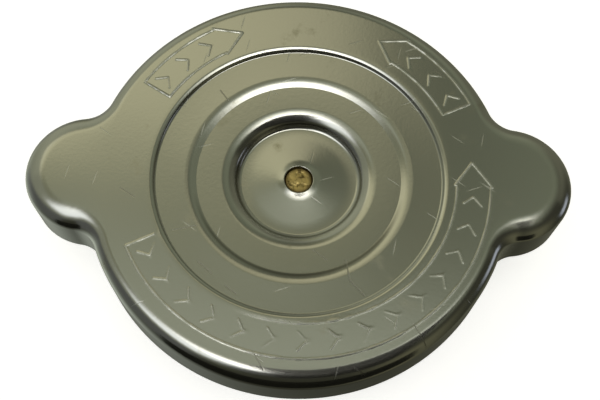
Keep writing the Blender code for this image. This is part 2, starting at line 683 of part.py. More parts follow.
def make_vacuum_cap(material, parent):
    """The cap that the stem's end carries and the vacuum spring pushes up."""
    top = VACUUM_CAP_BOTTOM + VACUUM_CAP_SHEET
    bore = STEM_HOLE_RADIUS
    section = [
        (bore, top),
        (VACUUM_CAP_RADIUS * 0.9, top),
        (VACUUM_CAP_RADIUS, top - VACUUM_CAP_SHEET * 0.5),
        (VACUUM_CAP_RADIUS, VACUUM_CAP_BOTTOM),
        (bore, VACUUM_CAP_BOTTOM),
    ]
    turned("vacuum_spring_cap", section, SEGMENTS_PIN, material, parent, VACUUM_CAP_BOTTOM)


def metal(name, colour, roughness):
    return surface(name, colour, roughness, 1.0)


def surface(name, colour, roughness, metallic):
    """A Principled material with a plain colour."""
    material = bpy.data.materials.new(name)
    material.use_nodes = True
    shader = material.node_tree.nodes["Principled BSDF"]
    shader.inputs["Base Color"].default_value = (*colour, 1.0)
    shader.inputs["Roughness"].default_value = roughness
    shader.inputs["Metallic"].default_value = metallic
    return material


def add_frame(name, parent=None):
    """An empty on the common axis that carries the pieces of one moving group."""
    frame = bpy.data.objects.new(name, None)
    frame.empty_display_size = 0.01
    bpy.context.scene.collection.objects.link(frame)
    frame.parent = parent
    return frame


def make_cover_group(frame):
    make_cover(metal("plated_cover_steel", (0.42, 0.42, 0.32), 0.22), frame)
    make_locking_cup(metal("zinc_plated_steel", (0.55, 0.54, 0.47), 0.35), frame)


def make_valve_unit(frame):
    brass = metal("rivet_brass", (0.62, 0.45, 0.18), 0.4)
    make_rivet(brass, frame)
    make_washer("thrust_washer", RIVET_HOLE_RADIUS, THRUST_WASHER_RADIUS, THRUST_WASHER_TOP,
                THRUST_WASHER_SHEET, brass, frame)
    make_washer("cage_washer", RIVET_HOLE_RADIUS, CAGE_WASHER_RADIUS, CAGE_WASHER_TOP,
                CAGE_WASHER_SHEET, metal("washer_steel", (0.56, 0.56, 0.54), 0.35), frame)
    make_spring_disc(metal("spring_steel", (0.50, 0.50, 0.48), 0.28), frame)
    make_neck_seal(surface("neck_rubber", (0.02, 0.02, 0.021), 0.7, 0.0), frame)
    make_seal_plate(metal("plate_steel", (0.58, 0.57, 0.52), 0.3), frame)
    make_cage(metal("cage_steel", (0.57, 0.56, 0.51), 0.32), frame)
    make_spring("pressure_spring", SPRING_RADIUS, SPRING_WIRE_RADIUS, SPRING_BOTTOM, SPRING_TOP,
                SPRING_ACTIVE_TURNS, SPRING_END_TURNS, 12, 6,
                metal("spring_wire", (0.48, 0.48, 0.47), 0.3), frame, SPRING_BOTTOM)


def make_pressure_valve(frame):
    make_guide_cup(metal("guide_steel", (0.57, 0.56, 0.51), 0.32), frame)
    make_valve_plate(metal("valve_plate_steel", (0.58, 0.57, 0.52), 0.3), frame)
    make_pressure_seal(surface("valve_rubber", (0.022, 0.022, 0.023), 0.65, 0.0), frame)
    make_spring("vacuum_spring", VACUUM_SPRING_RADIUS, VACUUM_SPRING_WIRE_RADIUS,
                VACUUM_SPRING_BOTTOM, VACUUM_SPRING_BOTTOM + VACUUM_SPRING_LENGTH,
                VACUUM_SPRING_TURNS - 2.0, 1.0, 8, 4,
                metal("fine_spring_wire", (0.6, 0.6, 0.58), 0.3), frame, VACUUM_SPRING_BOTTOM)


def make_vacuum_group(frame):
    brass = metal("valve_brass", (0.70, 0.52, 0.24), 0.3)
    make_vacuum_valve(brass, frame)
    make_vacuum_cap(brass, frame)


for leftover in list(bpy.data.objects):
    bpy.data.objects.remove(leftover, do_unlink=True)

cover_frame = add_frame("cover_group")
valve_unit_frame = add_frame("valve_unit_group", cover_frame)
pressure_valve_frame = add_frame("pressure_valve_group", valve_unit_frame)
vacuum_valve_frame = add_frame("vacuum_valve_group", pressure_valve_frame)
make_cover_group(cover_frame)
make_valve_unit(valve_unit_frame)
make_pressure_valve(pressure_valve_frame)
make_vacuum_group(vacuum_valve_frame)
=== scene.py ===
# %% [markdown]
# # A filler cap in pressed steel, brass and rubber
#
# The cap closes the filler neck of an engine's coolant reservoir. Its cover is one sheet of
# plated steel, pressed into rings and two hollow ears. Under it hang a locking cup with two
# claws, a seal for the neck's mouth, and a sprung pressure valve with a small vacuum valve in it.
#
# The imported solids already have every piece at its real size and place. They are plain and
# coarse, so this lesson turns each of them into a smooth piece with a finish. Nothing moves:
# each new piece takes its levels and radii from the solid that it stands for.

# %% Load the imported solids
import json
import math

import bmesh
import bpy
from mathutils import Matrix, Vector, noise


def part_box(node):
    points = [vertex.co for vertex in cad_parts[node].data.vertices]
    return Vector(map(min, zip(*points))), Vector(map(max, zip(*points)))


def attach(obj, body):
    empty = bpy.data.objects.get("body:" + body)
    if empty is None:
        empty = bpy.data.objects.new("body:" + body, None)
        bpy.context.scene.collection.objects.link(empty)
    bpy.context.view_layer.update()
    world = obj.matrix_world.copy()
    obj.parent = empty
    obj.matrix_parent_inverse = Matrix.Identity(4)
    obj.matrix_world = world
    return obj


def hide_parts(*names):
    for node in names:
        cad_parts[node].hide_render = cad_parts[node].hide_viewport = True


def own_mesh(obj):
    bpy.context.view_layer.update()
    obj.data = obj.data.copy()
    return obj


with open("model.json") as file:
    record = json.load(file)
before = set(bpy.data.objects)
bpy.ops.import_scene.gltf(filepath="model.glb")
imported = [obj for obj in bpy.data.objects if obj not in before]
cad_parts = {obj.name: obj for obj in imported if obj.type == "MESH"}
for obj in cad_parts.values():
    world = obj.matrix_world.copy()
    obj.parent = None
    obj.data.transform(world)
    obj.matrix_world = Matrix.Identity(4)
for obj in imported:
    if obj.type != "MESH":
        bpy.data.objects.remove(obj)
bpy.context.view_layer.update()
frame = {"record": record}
MM = 0.001

# %% [markdown]
# ## Where the pieces are
#
# Almost every piece is turned or pressed about one upright axis, so three numbers place it: its
# largest radius, its lowest level and its highest level. They are read from the solid's box.
# The record says which body carries a node, so a new piece asks there.

# %% Levels, bodies and finishes of the solids
BODY_OF = {n: body for body, nodes in frame["record"]["behaviour"]["bodies"].items() for n in nodes}


def levels(node):
    """Largest radius, lowest level and highest level of a turned solid."""
    low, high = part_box(node)
    return high.x, low.z, high.z


def stand_in(piece, node):
    """Let a finished piece ride, in place of a solid, on the body that carries the solid."""
    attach(piece, BODY_OF[node])
    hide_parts(node)
    print(piece.name, "stands for", node, "with", sum(len(f.vertices) - 2 for f in piece.data.polygons))


# %% [markdown]
# ## Rounded sections
#
# A press bends sheet over tool edges, and no bend is sharp. So a section is written as a few
# corners, each with the radius of its bend, and one function replaces a corner by an arc. A sheet
# is such a path with a second one beside it, one thickness away. Drawing the outside only keeps
# the wall even, as it is in pressed steel.

# %% Corners to arcs, and a path to a sheet
ARC_STEP = math.radians(7.0)


def turn_between(before, here, after):
    """Directions into and out of a corner, and the signed angle between them."""
    inward = (Vector(here) - Vector(before)).normalized()
    outward = (Vector(after) - Vector(here)).normalized()
    turn = math.atan2(inward.x * outward.y - inward.y * outward.x, inward.dot(outward))
    return inward, outward, turn


def rounded(corners, closed=True):
    """Points of a path whose corners (radius, level, bend) are rounded by arcs."""
    points = []
    for index, (r, z, bend) in enumerate(corners):
        before = corners[index - 1][:2]
        after = corners[(index + 1) % len(corners)][:2]
        end = not closed and index in (0, len(corners) - 1)
        inward, outward, turn = turn_between(before, (r, z), after)
        room = 0.49 * min(math.dist(before, (r, z)), math.dist((r, z), after))
        tangent = min(abs(bend * math.tan(turn / 2.0)), room)
        if end or tangent < 1e-7:
            points.append((r, z))
            continue
        bend = tangent / abs(math.tan(turn / 2.0))
        side = math.copysign(1.0, turn)
        centre = Vector((r, z)) - inward * tangent + Vector((-inward.y, inward.x)) * bend * side
        first = math.atan2(-inward.x * side, inward.y * side)
        steps = max(2, math.ceil(abs(turn) / ARC_STEP))
        for step in range(steps + 1):
            angle = first + turn * step / steps
            points.append((centre.x + bend * math.cos(angle), centre.y + bend * math.sin(angle)))
    return points


def other_face(corners, thickness):
    """The same corners on the other face of a sheet that lies right of the path."""
    moved = []
    for index, (r, z, bend) in enumerate(corners):
        before = corners[max(index - 1, 0)][:2]
        after = corners[min(index + 1, len(corners) - 1)][:2]
        here = (r, z)
        if index == 0:
            before = (2.0 * r - after[0], 2.0 * z - after[1])
        if index == len(corners) - 1:
            after = (2.0 * r - before[0], 2.0 * z - before[1])
        inward, outward, turn = turn_between(before, here, after)
        normal = Vector((inward.y + outward.y, -inward.x - outward.x)).normalized()
        reach = thickness / math.cos(turn / 2.0)
        inner_bend = max(bend + math.copysign(thickness, turn), 0.0) if bend else 0.0
        moved.append((r + normal.x * reach, z + normal.y * reach, inner_bend))
    return moved


def sheet(corners, thickness, edge):
    """Closed section of a pressed sheet whose cut edges are broken by a small radius."""
    inner = other_face(corners, thickness)
    outer = list(corners)
    for path in (outer, inner):
        for end in (0, -1):
            path[end] = (path[end][0], path[end][1], edge)
    return rounded(outer + inner[::-1])


print("a quarter bend gets", math.ceil(math.pi / 2.0 / ARC_STEP), "faces")

# %% [markdown]
# ## Turning a section
#
# Spinning a section about the axis makes a washer, a disc or a cup. Rings of points and the quads
# between them do it in a few lines, and leave the mesh open to later changes. Where the section
# starts on the axis, the points there merge to one, which closes the pole. Normals are
# recalculated after that, because a section drawn the wrong way round would be inside out.

# %% Turn a section into a mesh object
TURNED_SEGMENTS = 192
SMALL_SEGMENTS = 96
SHARP_EDGE = math.radians(38.0)
MERGE_DISTANCE = 0.001 * MM


def in_scene(name, data):
    """Link a mesh or a camera to the scene as an object."""
    made = bpy.data.objects.new(name, data)
    bpy.context.scene.collection.objects.link(made)
    return made


def as_object(name, bm):
    """Close, smooth and link a mesh under a name."""
    bmesh.ops.remove_doubles(bm, verts=bm.verts, dist=MERGE_DISTANCE)
    bmesh.ops.recalc_face_normals(bm, faces=bm.faces)
    mesh = bpy.data.meshes.new(name)
    bm.to_mesh(mesh)
    bm.free()
    mesh.shade_smooth()
    mesh.set_sharp_from_angle(angle=SHARP_EDGE)
    return in_scene(name, mesh)


def even_angles(count):
    return [math.tau * k / count for k in range(count)]


def circle(bm, radius, z, angles):
    return [bm.verts.new((radius * math.cos(a), radius * math.sin(a), z)) for a in angles]


def skin(bm, first, second):
    """Quads between two loops with equally many points."""
    for index in range(len(first)):
        following = (index + 1) % len(first)
        bm.faces.new((first[index], first[following], second[following], second[index]))


def turned(name, section, segments=TURNED_SEGMENTS):
    """Spin a closed section (radius, level) about the cap's axis."""
    bm = bmesh.new()
    loops = [circle(bm, r, z, even_angles(segments)) for r, z in section]
    for index, loop in enumerate(loops):
        following = (index + 1) % len(loops)
        if section[index][0] > 0.0 or section[following][0] > 0.0:
            skin(bm, loop, loops[following])
    return as_object(name, bm)


print("a turned piece has", TURNED_SEGMENTS, "segments")

# %% [markdown]
# ## Nodes in one line each
#
# Materials and Geometry Nodes are both trees of nodes. One small function adds a node, sets its
# properties, and fills its inputs. Colours are picked as sRGB hex values, as a paint program
# shows them, and one function makes them linear, which is what the renderer computes with.

# %% Add a node, and turn a hex colour to linear light
def fill(tree, node, inputs):
    """Set inputs to values or to outputs. A node stands for the first output that it has in use."""
    for key, value in inputs.items():
        if isinstance(value, bpy.types.Node):
            value = next(output for output in value.outputs if output.enabled)
        if isinstance(value, bpy.types.NodeSocket):
            tree.links.new(value, node.inputs[key])
        else:
            node.inputs[key].default_value = value


def add(tree, kind, inputs=None, **settings):
    """Add a node with its settings, and fill its inputs."""
    node = tree.nodes.new(kind)
    for key, value in settings.items():
        setattr(node, key, value)
    fill(tree, node, inputs or {})
    return node


def linear(hex_colour):
    """An sRGB hex colour as linear RGBA."""
    channels = [int(hex_colour[i:i + 2], 16) / 255.0 for i in (1, 3, 5)]
    light = [c / 12.92 if c <= 0.04045 else ((c + 0.055) / 1.055) ** 2.4 for c in channels]
    return (*light, 1.0)


def new_material(name):
    """A node material, and its tree."""
    material = bpy.data.materials.new(name)
    material.use_nodes = True
    return material, material.node_tree


def coat(tree, inputs):
    """Fill the inputs of a material's Principled shader."""
    fill(tree, tree.nodes["Principled BSDF"], inputs)


print("mid grey is", round(linear("#808080")[0], 3), "in linear light")

# %% [markdown]
# ## Patches and grain
#
# No finish here is one even colour. Noise some millimetres long mixes two colours in patches, and
# noise of a fraction of a millimetre is a bump that roughens the reflections. Both lengths and the
# bump's depth are real sizes.

# %% What most finishes share
def patches(tree, place, length, detail, roughness, pale, dark):
    """Noise patches of one length, and the colour that goes with them from pale to dark."""
    patch = add(tree, "ShaderNodeTexNoise",
                {"Vector": place, "Scale": 1.0 / length, "Detail": detail, "Roughness": roughness})
    return patch, add(tree, "ShaderNodeMix", {"Factor": patch, 6: linear(pale), 7: linear(dark)},
                      data_type="RGBA")


def grain(tree, place, length, detail, depth, under=None):
    """A bump of one length and depth, on top of another where there is one."""
    height = add(tree, "ShaderNodeTexNoise", {"Vector": place, "Scale": 1.0 / length, "Detail": detail})
    laid_on = {"Normal": under} if under else {}
    return add(tree, "ShaderNodeBump", {"Height": height, "Strength": 1.0, "Distance": depth, **laid_on})


def from_axis(tree, place):
    """Distance of a place from the cap's axis."""
    level = add(tree, "ShaderNodeVectorMath", {0: place, 1: (1.0, 1.0, 0.0)}, operation="MULTIPLY")
    return add(tree, "ShaderNodeVectorMath", {0: level}, operation="LENGTH")


def strongest(tree, values):
    """The largest of several values."""
    best = values[0]
    for value in values[1:]:
        best = add(tree, "ShaderNodeMath", {0: best, 1: value}, operation="MAXIMUM")
    return best


# Such rings are painted shade: in the well's corner, on the middle step, and round the rivet head's edge.
def painted_shade_ring(tree, place, middle, half_width):
    """1 on a ring about the cap's axis, fading to 0 over its half width."""
    off = add(tree, "ShaderNodeMath", {0: from_axis(tree, place), 1: middle}, operation="SUBTRACT")
    away = add(tree, "ShaderNodeMath", {0: off}, operation="ABSOLUTE")
    return add(tree, "ShaderNodeMapRange",
               {"Value": away, "From Max": half_width, "To Min": 1.0, "To Max": 0.0})


print("patches and grain are ready")

# %% [markdown]
# ## Bright nickel plating on the cover
#
# The cover is drawn from thin steel and plated bright, and years on an engine have yellowed it.
# It is a metal, so its colour is the colour of its reflections. Rolled sheet is never a true
# mirror: a wave some 16 mm long bends reflections, and a finer orange peel softens them. Wiping
# leaves hairlines a tenth of a millimetre wide, drawn here three times as wide to show. A dozen
# longer scratches are laid one by one, and dirt has stayed in them. Two rings are painted darker
# as shade: one round the well's floor, and one as a dark reflection on the near half of the
# middle step. Spilt coolant dries to dull, darker stains.

# %% Plated cover steel
COVER_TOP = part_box("cover_shell")[1].z
WAVE_LENGTH = 16.0 * MM
WAVE_DEPTH = 0.03 * MM
PEEL_LENGTH = 0.6 * MM
PEEL_DEPTH = 0.006 * MM
HAIRLINE_LENGTH = 5.0 * MM
HAIRLINE_WIDTH = 0.36 * MM
HAIRLINE_SHARE = 0.003
HAIRLINE_TURNS = (20.0, -35.0, 78.0)
STAIN_LENGTH = 7.0 * MM
SCRATCH_HALF_WIDTH = 0.2 * MM
SCRATCH_DEPTH = 0.005 * MM
SCUFF_HEIGHT = 0.04 * MM
# Painted shade: a darker ring round the well's floor, and a painted dark reflection on the near half of the
# middle step.
WELL_SHADE_RADIUS = 11.85 * MM
WELL_SHADE_WIDTH = 0.35 * MM
STEP_SHADE_RADIUS = 19.7 * MM
STEP_SHADE_WIDTH = 0.6 * MM
STEP_SHADE_FULL_Y = -12.0 * MM
STEP_SHADE_END_Y = -4.0 * MM
SCRATCHES = [
    (9.0, -16.6, 9.6, -20.5),
    (9.6, -20.5, 12.2, -23.2),
    (-15.8, 17.8, -14.2, 15.7),
    (-17.6, -17.8, -15.2, -19.9),
    (-12.5, -22.2, -10.6, -23.6),
    (3.0, -14.8, 5.5, -16.6),
    (-22.8, -11.8, -18.6, -10.8),
    (-33.0, -4.0, -30.2, -5.8),
    (20.8, -28.5, 23.6, -33.1),
    (-6.8, -34.5, -5.2, -37.2),
    (10.5, -36.5, 14.2, -38.5),
    (26.2, 23.2, 28.1, 21.6),
]


def hairlines(tree, place, degrees):
    """1 on short straight hairlines that lie one way, 0 elsewhere; a share of the cells has one."""
    laid = add(tree, "ShaderNodeMapping", {"Vector": place, "Rotation": (0.0, 0.0, math.radians(degrees)),
                                           "Scale": (HAIRLINE_LENGTH, HAIRLINE_WIDTH, HAIRLINE_LENGTH)},
               vector_type="TEXTURE")
    cells = add(tree, "ShaderNodeTexVoronoi", {"Vector": laid, "Scale": 1.0}, voronoi_dimensions="2D")
    line = add(tree, "ShaderNodeMapRange", {"Value": cells.outputs["Distance"], "From Min": 0.12,
                                            "From Max": 0.42, "To Min": 1.0, "To Max": 0.0})
    lot = add(tree, "ShaderNodeSeparateColor", {"Color": cells.outputs["Color"]})
    drawn = add(tree, "ShaderNodeMath", {0: lot, 1: HAIRLINE_SHARE}, operation="LESS_THAN")
    return add(tree, "ShaderNodeMath", {0: line, 1: drawn}, operation="MULTIPLY")


def scratch(tree, place, start, end):
    """1 on one scratch between two places on the face, 0 elsewhere."""
    run = end - start
    level = add(tree, "ShaderNodeVectorMath", {0: place, 1: (1.0, 1.0, 0.0)}, operation="MULTIPLY")
    from_start = add(tree, "ShaderNodeVectorMath", {0: level, 1: start}, operation="SUBTRACT")
    along = add(tree, "ShaderNodeVectorMath", {0: from_start, 1: run / run.length_squared},
                operation="DOT_PRODUCT")
    held = add(tree, "ShaderNodeMapRange", {"Value": along})
    back = add(tree, "ShaderNodeVectorMath", {0: run, "Scale": held}, operation="SCALE")
    away = add(tree, "ShaderNodeVectorMath", {0: from_start, 1: back}, operation="DISTANCE")
    return add(tree, "ShaderNodeMapRange",
               {"Value": away, "From Max": SCRATCH_HALF_WIDTH, "To Min": 1.0, "To Max": 0.0})


def scored_lines(tree, place, normal):
    """Hairlines and scratches together, and the scratches alone, on all that faces up."""
    facing = add(tree, "ShaderNodeSeparateXYZ", {"Vector": normal})
    upward = add(tree, "ShaderNodeMapRange",
                 {"Value": facing.outputs["Z"], "From Min": 0.4, "From Max": 0.7})
    wiped = [hairlines(tree, place, degrees) for degrees in HAIRLINE_TURNS]
    marks = [scratch(tree, place, Vector((x0, y0, 0.0)) * MM, Vector((x1, y1, 0.0)) * MM)
             for x0, y0, x1, y1 in SCRATCHES]
    fine, deep = (add(tree, "ShaderNodeMath", {0: strongest(tree, lines), 1: upward},
                      operation="MULTIPLY") for lines in (wiped, marks))
    return strongest(tree, [fine, deep]), deep


def cover_dirt_and_painted_shade(tree, place, y, deep):
    """Dirt in the scratches, painted shade in the well's corner, and a painted dark reflection on the near
    half of the middle step.
    """
    # Painted dark reflection: the middle step's ring is darkest on the near side and fades out towards the
    # far side.
    near = add(tree, "ShaderNodeMapRange", {"Value": y, "From Min": STEP_SHADE_FULL_Y,
                                            "From Max": STEP_SHADE_END_Y, "To Min": 0.7, "To Max": 0.0})
    well_shade = painted_shade_ring(tree, place, WELL_SHADE_RADIUS, WELL_SHADE_WIDTH)
    step = painted_shade_ring(tree, place, STEP_SHADE_RADIUS, STEP_SHADE_WIDTH)
    return strongest(tree, [add(tree, "ShaderNodeMath", {0: where, 1: share}, operation="MULTIPLY")
                            for where, share in ((deep, 0.55), (well_shade, 0.75), (step, near))])


def plated_cover_steel():
    material, tree = new_material("bright_nickel_plated_steel")
    coordinates = add(tree, "ShaderNodeTexCoord").outputs
    place = coordinates["Object"]
    across = add(tree, "ShaderNodeSeparateXYZ", {"Vector": place}).outputs
    stain = add(tree, "ShaderNodeTexNoise", {"Vector": place, "Scale": 1.0 / STAIN_LENGTH,
                                             "Detail": 6.0, "Roughness": 0.62})
    stained = add(tree, "ShaderNodeMapRange", {"Value": stain, "From Min": 0.6, "From Max": 0.8},
                  interpolation_type="SMOOTHSTEP")
    tint = add(tree, "ShaderNodeMix", {"Factor": stained, 6: linear("#cbccc3"),
                                       7: linear("#b3b09a")}, data_type="RGBA")
    lines, deep = scored_lines(tree, place, coordinates["Normal"])
    # The darker colour is dirt in the scratches, and painted shade in the well's corner and on the middle
    # step.
    shown = add(tree, "ShaderNodeMix", {"Factor": cover_dirt_and_painted_shade(tree, place, across["Y"], deep),
                                        6: tint, 7: linear("#5f5a48")}, data_type="RGBA")
    waved = grain(tree, place, WAVE_LENGTH, 1.0, WAVE_DEPTH)
    peeled = grain(tree, place, PEEL_LENGTH, 3.0, PEEL_DEPTH, waved)
    scored = add(tree, "ShaderNodeBump", {"Height": lines, "Strength": 1.0,
                                          "Distance": -SCRATCH_DEPTH, "Normal": peeled})
    scuffed = add(tree, "ShaderNodeMapRange", {"Value": across["Z"], "From Min": COVER_TOP,
                                               "From Max": COVER_TOP + SCUFF_HEIGHT})
    rough = add(tree, "ShaderNodeMapRange", {"Value": strongest(tree, [stained, lines, scuffed]),
                                             "To Min": 0.17, "To Max": 0.34})
    coat(tree, {"Base Color": shown, "Normal": scored, "Roughness": rough, "Metallic": 1.0})
    return material


cover_steel = plated_cover_steel()
print("made", cover_steel.name)

# %% [markdown]
# ## The cover's outline and its pressed face
#
# From above the cover is a disc with two round ears, joined by small fillets, so its outline is
# arcs alone. Across its face a section runs outwards from the rivet's hole: a collar that rises
# to the hole, a well, a plateau, and two steps up to the outer flat. Each step has one soft and
# one sharp corner, because the press tool has a round nose and a sharp counter edge.

# %% Sizes of the cover
COVER_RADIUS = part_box("cover_shell")[1].y
SKIRT_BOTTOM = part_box("cover_shell")[0].z
COVER_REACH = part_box("cover_shell")[1].x
SHEET = 0.9 * MM
RIM_BEND = 3.0 * MM
EAR_TIP_RADIUS = 11.6 * MM
EAR_FILLET = 5.5 * MM
OUTER_STEP_RADIUS = 27.1 * MM
OUTER_STEP_DEPTH = 0.88 * MM
MIDDLE_STEP_RADIUS = 19.3 * MM
MIDDLE_STEP_DEPTH = 0.49 * MM
WELL_RADIUS = 11.3 * MM
WELL_RUN = 1.4 * MM
WELL_DEPTH = 2.12 * MM
COLLAR_RISE = 0.75 * MM
HOLE_RADIUS = 2.7 * MM
MIDDLE_FLAT = COVER_TOP - OUTER_STEP_DEPTH
PLATEAU = MIDDLE_FLAT - MIDDLE_STEP_DEPTH
WELL_FLOOR = PLATEAU - WELL_DEPTH
COLLAR_TOP = WELL_FLOOR + COLLAR_RISE
print("the cover is", round(2000 * COVER_RADIUS, 1), "mm across,",
      round(2000 * COVER_REACH, 1), "mm over its ears")

# %% Outline of the cover, and the section of its face
def arc(centre, radius, first, last, steps):
    """Points and inward directions on an arc, without its last one, which the next arc starts with."""
    turns_in = -1.0 if radius > 0.0 else 1.0
    points = []
    for step in range(steps):
        angle = first + (last - first) * step / steps
        ray = Vector((math.cos(angle), math.sin(angle)))
        points.append((Vector(centre) + ray * abs(radius), ray * turns_in))
    return points


def cover_outline():
    """Points of the cover's outline, a disc with two ears and four fillets, and their inward directions."""
    ear_centre = COVER_REACH - EAR_TIP_RADIUS
    to_axis = COVER_RADIUS + EAR_FILLET
    to_ear = EAR_TIP_RADIUS + EAR_FILLET
    fillet_x = (to_axis ** 2 - to_ear ** 2 + ear_centre ** 2) / (2.0 * ear_centre)
    fillet_y = math.sqrt(to_axis ** 2 - fillet_x ** 2)
    rim_angle = math.atan2(fillet_y, fillet_x)
    ear_angle = math.atan2(fillet_y, fillet_x - ear_centre)
    half = arc((ear_centre, 0.0), EAR_TIP_RADIUS, -ear_angle, ear_angle, 64)
    half += arc((fillet_x, fillet_y), -EAR_FILLET, ear_angle + math.pi, rim_angle + math.pi, 20)
    half += arc((0.0, 0.0), COVER_RADIUS, rim_angle, math.pi - rim_angle, 120)
    half += arc((-fillet_x, fillet_y), -EAR_FILLET, -rim_angle, -ear_angle, 20)
    return half + [(-point, -inward) for point, inward in half]


outline = cover_outline()
print("the outline has", len(outline), "points")


FACE = [
    (HOLE_RADIUS, COLLAR_TOP - SHEET * 0.5, 0.0),
    (HOLE_RADIUS, COLLAR_TOP, 0.22 * MM),
    (HOLE_RADIUS + 1.2 * MM, WELL_FLOOR + COLLAR_RISE * 0.55, 6.0 * MM),
    (WELL_RADIUS - 2.2 * MM, WELL_FLOOR + 0.02 * MM, 20.0 * MM),
    (WELL_RADIUS + 0.1 * MM, WELL_FLOOR, 0.9 * MM),
    (WELL_RADIUS + 0.75 * MM, WELL_FLOOR + 1.15 * MM, 2.2 * MM),
    (WELL_RADIUS + WELL_RUN + 0.5 * MM, PLATEAU - 0.28 * MM, 2.6 * MM),
    (WELL_RADIUS + WELL_RUN + 1.7 * MM, PLATEAU, 3.2 * MM),
    (MIDDLE_STEP_RADIUS, PLATEAU, 0.2 * MM),
    (MIDDLE_STEP_RADIUS + 1.2 * MM, MIDDLE_FLAT - 0.08 * MM, 5.0 * MM),
    (MIDDLE_STEP_RADIUS + 2.2 * MM, MIDDLE_FLAT, 3.6 * MM),
    (OUTER_STEP_RADIUS, MIDDLE_FLAT, 0.4 * MM),
    (OUTER_STEP_RADIUS + 0.2 * MM, COVER_TOP - 0.21 * MM, 0.15 * MM),
    (OUTER_STEP_RADIUS + 0.72 * MM, COVER_TOP, 2.4 * MM),
    (OUTER_STEP_RADIUS + 1.7 * MM, COVER_TOP, 0.0),
]
face_path = rounded(FACE, closed=False)
print("the face's section has", len(face_path), "points")

# %% [markdown]
# ## Direction marks in the outer flat
#
# Three flat arrows are pressed into the outer ring: two short ones that say which way the cap
# turns, and a long one round the near side. Here they are bare outlines with plain chevrons in
# them. First they are only lines: pairs of points along each edge. Those of the outlines lie on
# the face. Those of the chevrons lie a little under it, so that their ridges come out lower.

# %% Lines of the arrow marks
CHEVRON_PITCH = 6.2 * MM
CHEVRON_HALF_HEIGHT = 1.7 * MM
CHEVRON_DEGREES = 2.9
CHEVRON_SINK = 0.08 * MM
CHEVRON_SHARE = 0.62
HEAD_OVERHANG = 0.35 * MM
EDGE_DEGREES = 1.5


class ArrowMark:
    """An arrow bent round the cap: angles in degrees of its base, shoulders and tip."""

    def __init__(self, inner, outer, shift, base, shoulder, tip):
        self.inner, self.outer, self.middle = inner, outer, (inner + outer) / 2.0
        self.shift = shift
        self.base, self.shoulder, self.tip = base, shoulder, tip
        self.sense = math.copysign(1.0, tip - base)

    def point(self, radius, degrees, sink=0.0):
        angle = math.radians(degrees)
        return (self.shift + radius * math.cos(angle), radius * math.sin(angle), COVER_TOP - sink)

    def outline(self):
        """The closed outline: two bent edges, a straight base and a pointed head."""
        count = max(4, round(abs(self.shoulder - self.base) / EDGE_DEGREES))
        angles = [self.base + (self.shoulder - self.base) * k / count for k in range(count + 1)]
        points = [self.point(self.outer, a) for a in angles]
        points += [self.point(self.outer + HEAD_OVERHANG, self.shoulder),
                   self.point(self.middle, self.tip),
                   self.point(self.inner - HEAD_OVERHANG, self.shoulder)]
        points += [self.point(self.inner, a) for a in reversed(angles)]
        return points + points[:1]

    def chevron_angles(self):
        """Angles at which the chevrons' points stand, evenly between base and shoulders."""
        length = abs(self.shoulder - self.base) * math.pi / 180.0 * self.outer
        count = max(1, round(length / CHEVRON_PITCH))
        step = (self.shoulder - self.base) / count
        return [self.base + step * (k + CHEVRON_SHARE) for k in range(count)]

    def chevron(self, tip):
        """A bare angle that points along the arrow."""
        back = tip - self.sense * CHEVRON_DEGREES
        corners = ((CHEVRON_HALF_HEIGHT, back), (0.0, tip), (-CHEVRON_HALF_HEIGHT, back))
        return [self.point(self.middle + off, degrees, CHEVRON_SINK) for off, degrees in corners]


MARKS = [
    ArrowMark(30.2 * MM, 36.2 * MM, 0.36 * MM, 26.0, 55.0, 63.1),
    ArrowMark(30.2 * MM, 36.2 * MM, 0.36 * MM, 148.8, 120.5, 112.1),
    ArrowMark(28.9 * MM, 35.2 * MM, 0.75 * MM, 205.9, 356.9, 365.6),
]


def mark_lines():
    """Vertices and edges of all outlines and chevrons."""
    verts = []
    edges = []
    for mark in MARKS:
        for run in [mark.outline()] + [mark.chevron(tip) for tip in mark.chevron_angles()]:
            first = len(verts)
            verts += run
            edges += [(first + k, first + k + 1) for k in range(len(run) - 1)]
    return verts, edges


line_mesh = bpy.data.meshes.new("mark_lines")
line_mesh.from_pydata(*mark_lines(), [])
mark_line_object = in_scene("mark_lines", line_mesh)
print("the marks have", len(line_mesh.edges), "line pieces")

# %% [markdown]
# ## The cover's mesh
#
# Only the outer ring carries fine marks, so only it gets a fine grid: rings 0.15 mm apart, and
# spokes as close as that where a slanted line crosses, but wide apart along the bent edges. The
# stepped middle and the rim have their own counts, and flat seams of triangles join them, where
# nothing can show.

# %% Spokes and rings of the marked zone
FINE_STEP = 0.15 * MM
COARSE_DEGREES = 1.2
FINE_DEGREES = math.degrees(FINE_STEP / (33.0 * MM))
BASE_MARGIN = 1.3
HEAD_MARGIN = 1.2
TIP_MARGIN = 1.0
CHEVRON_MARGIN = 0.9


def busy_spans():
    """Spans of angle where lines cross the rings at a slant."""
    spans = []
    for mark in MARKS:
        spans.append((mark.base - BASE_MARGIN, mark.base + BASE_MARGIN))
        pairs = [(mark.shoulder - mark.sense * HEAD_MARGIN, mark.tip + mark.sense * TIP_MARGIN)]
        pairs += [(tip + mark.sense * CHEVRON_MARGIN,
                   tip - mark.sense * (CHEVRON_DEGREES + CHEVRON_MARGIN))
                  for tip in mark.chevron_angles()]
        spans += [tuple(sorted(pair)) for pair in pairs]
    return spans


def spoke_angles():
    """Angles of the spokes: fine in the busy spans and coarse elsewhere."""
    spans = busy_spans()
    angles = []
    here = 0.0
    while here < 360.0 - FINE_DEGREES:
        angles.append(math.radians(here))
        turn = (here, here + 360.0)
        busy = any(low - COARSE_DEGREES < t < high for low, high in spans for t in turn)
        here += FINE_DEGREES if busy else COARSE_DEGREES
    return angles


spokes = spoke_angles()
print("the marked zone has", len(spokes), "spokes")


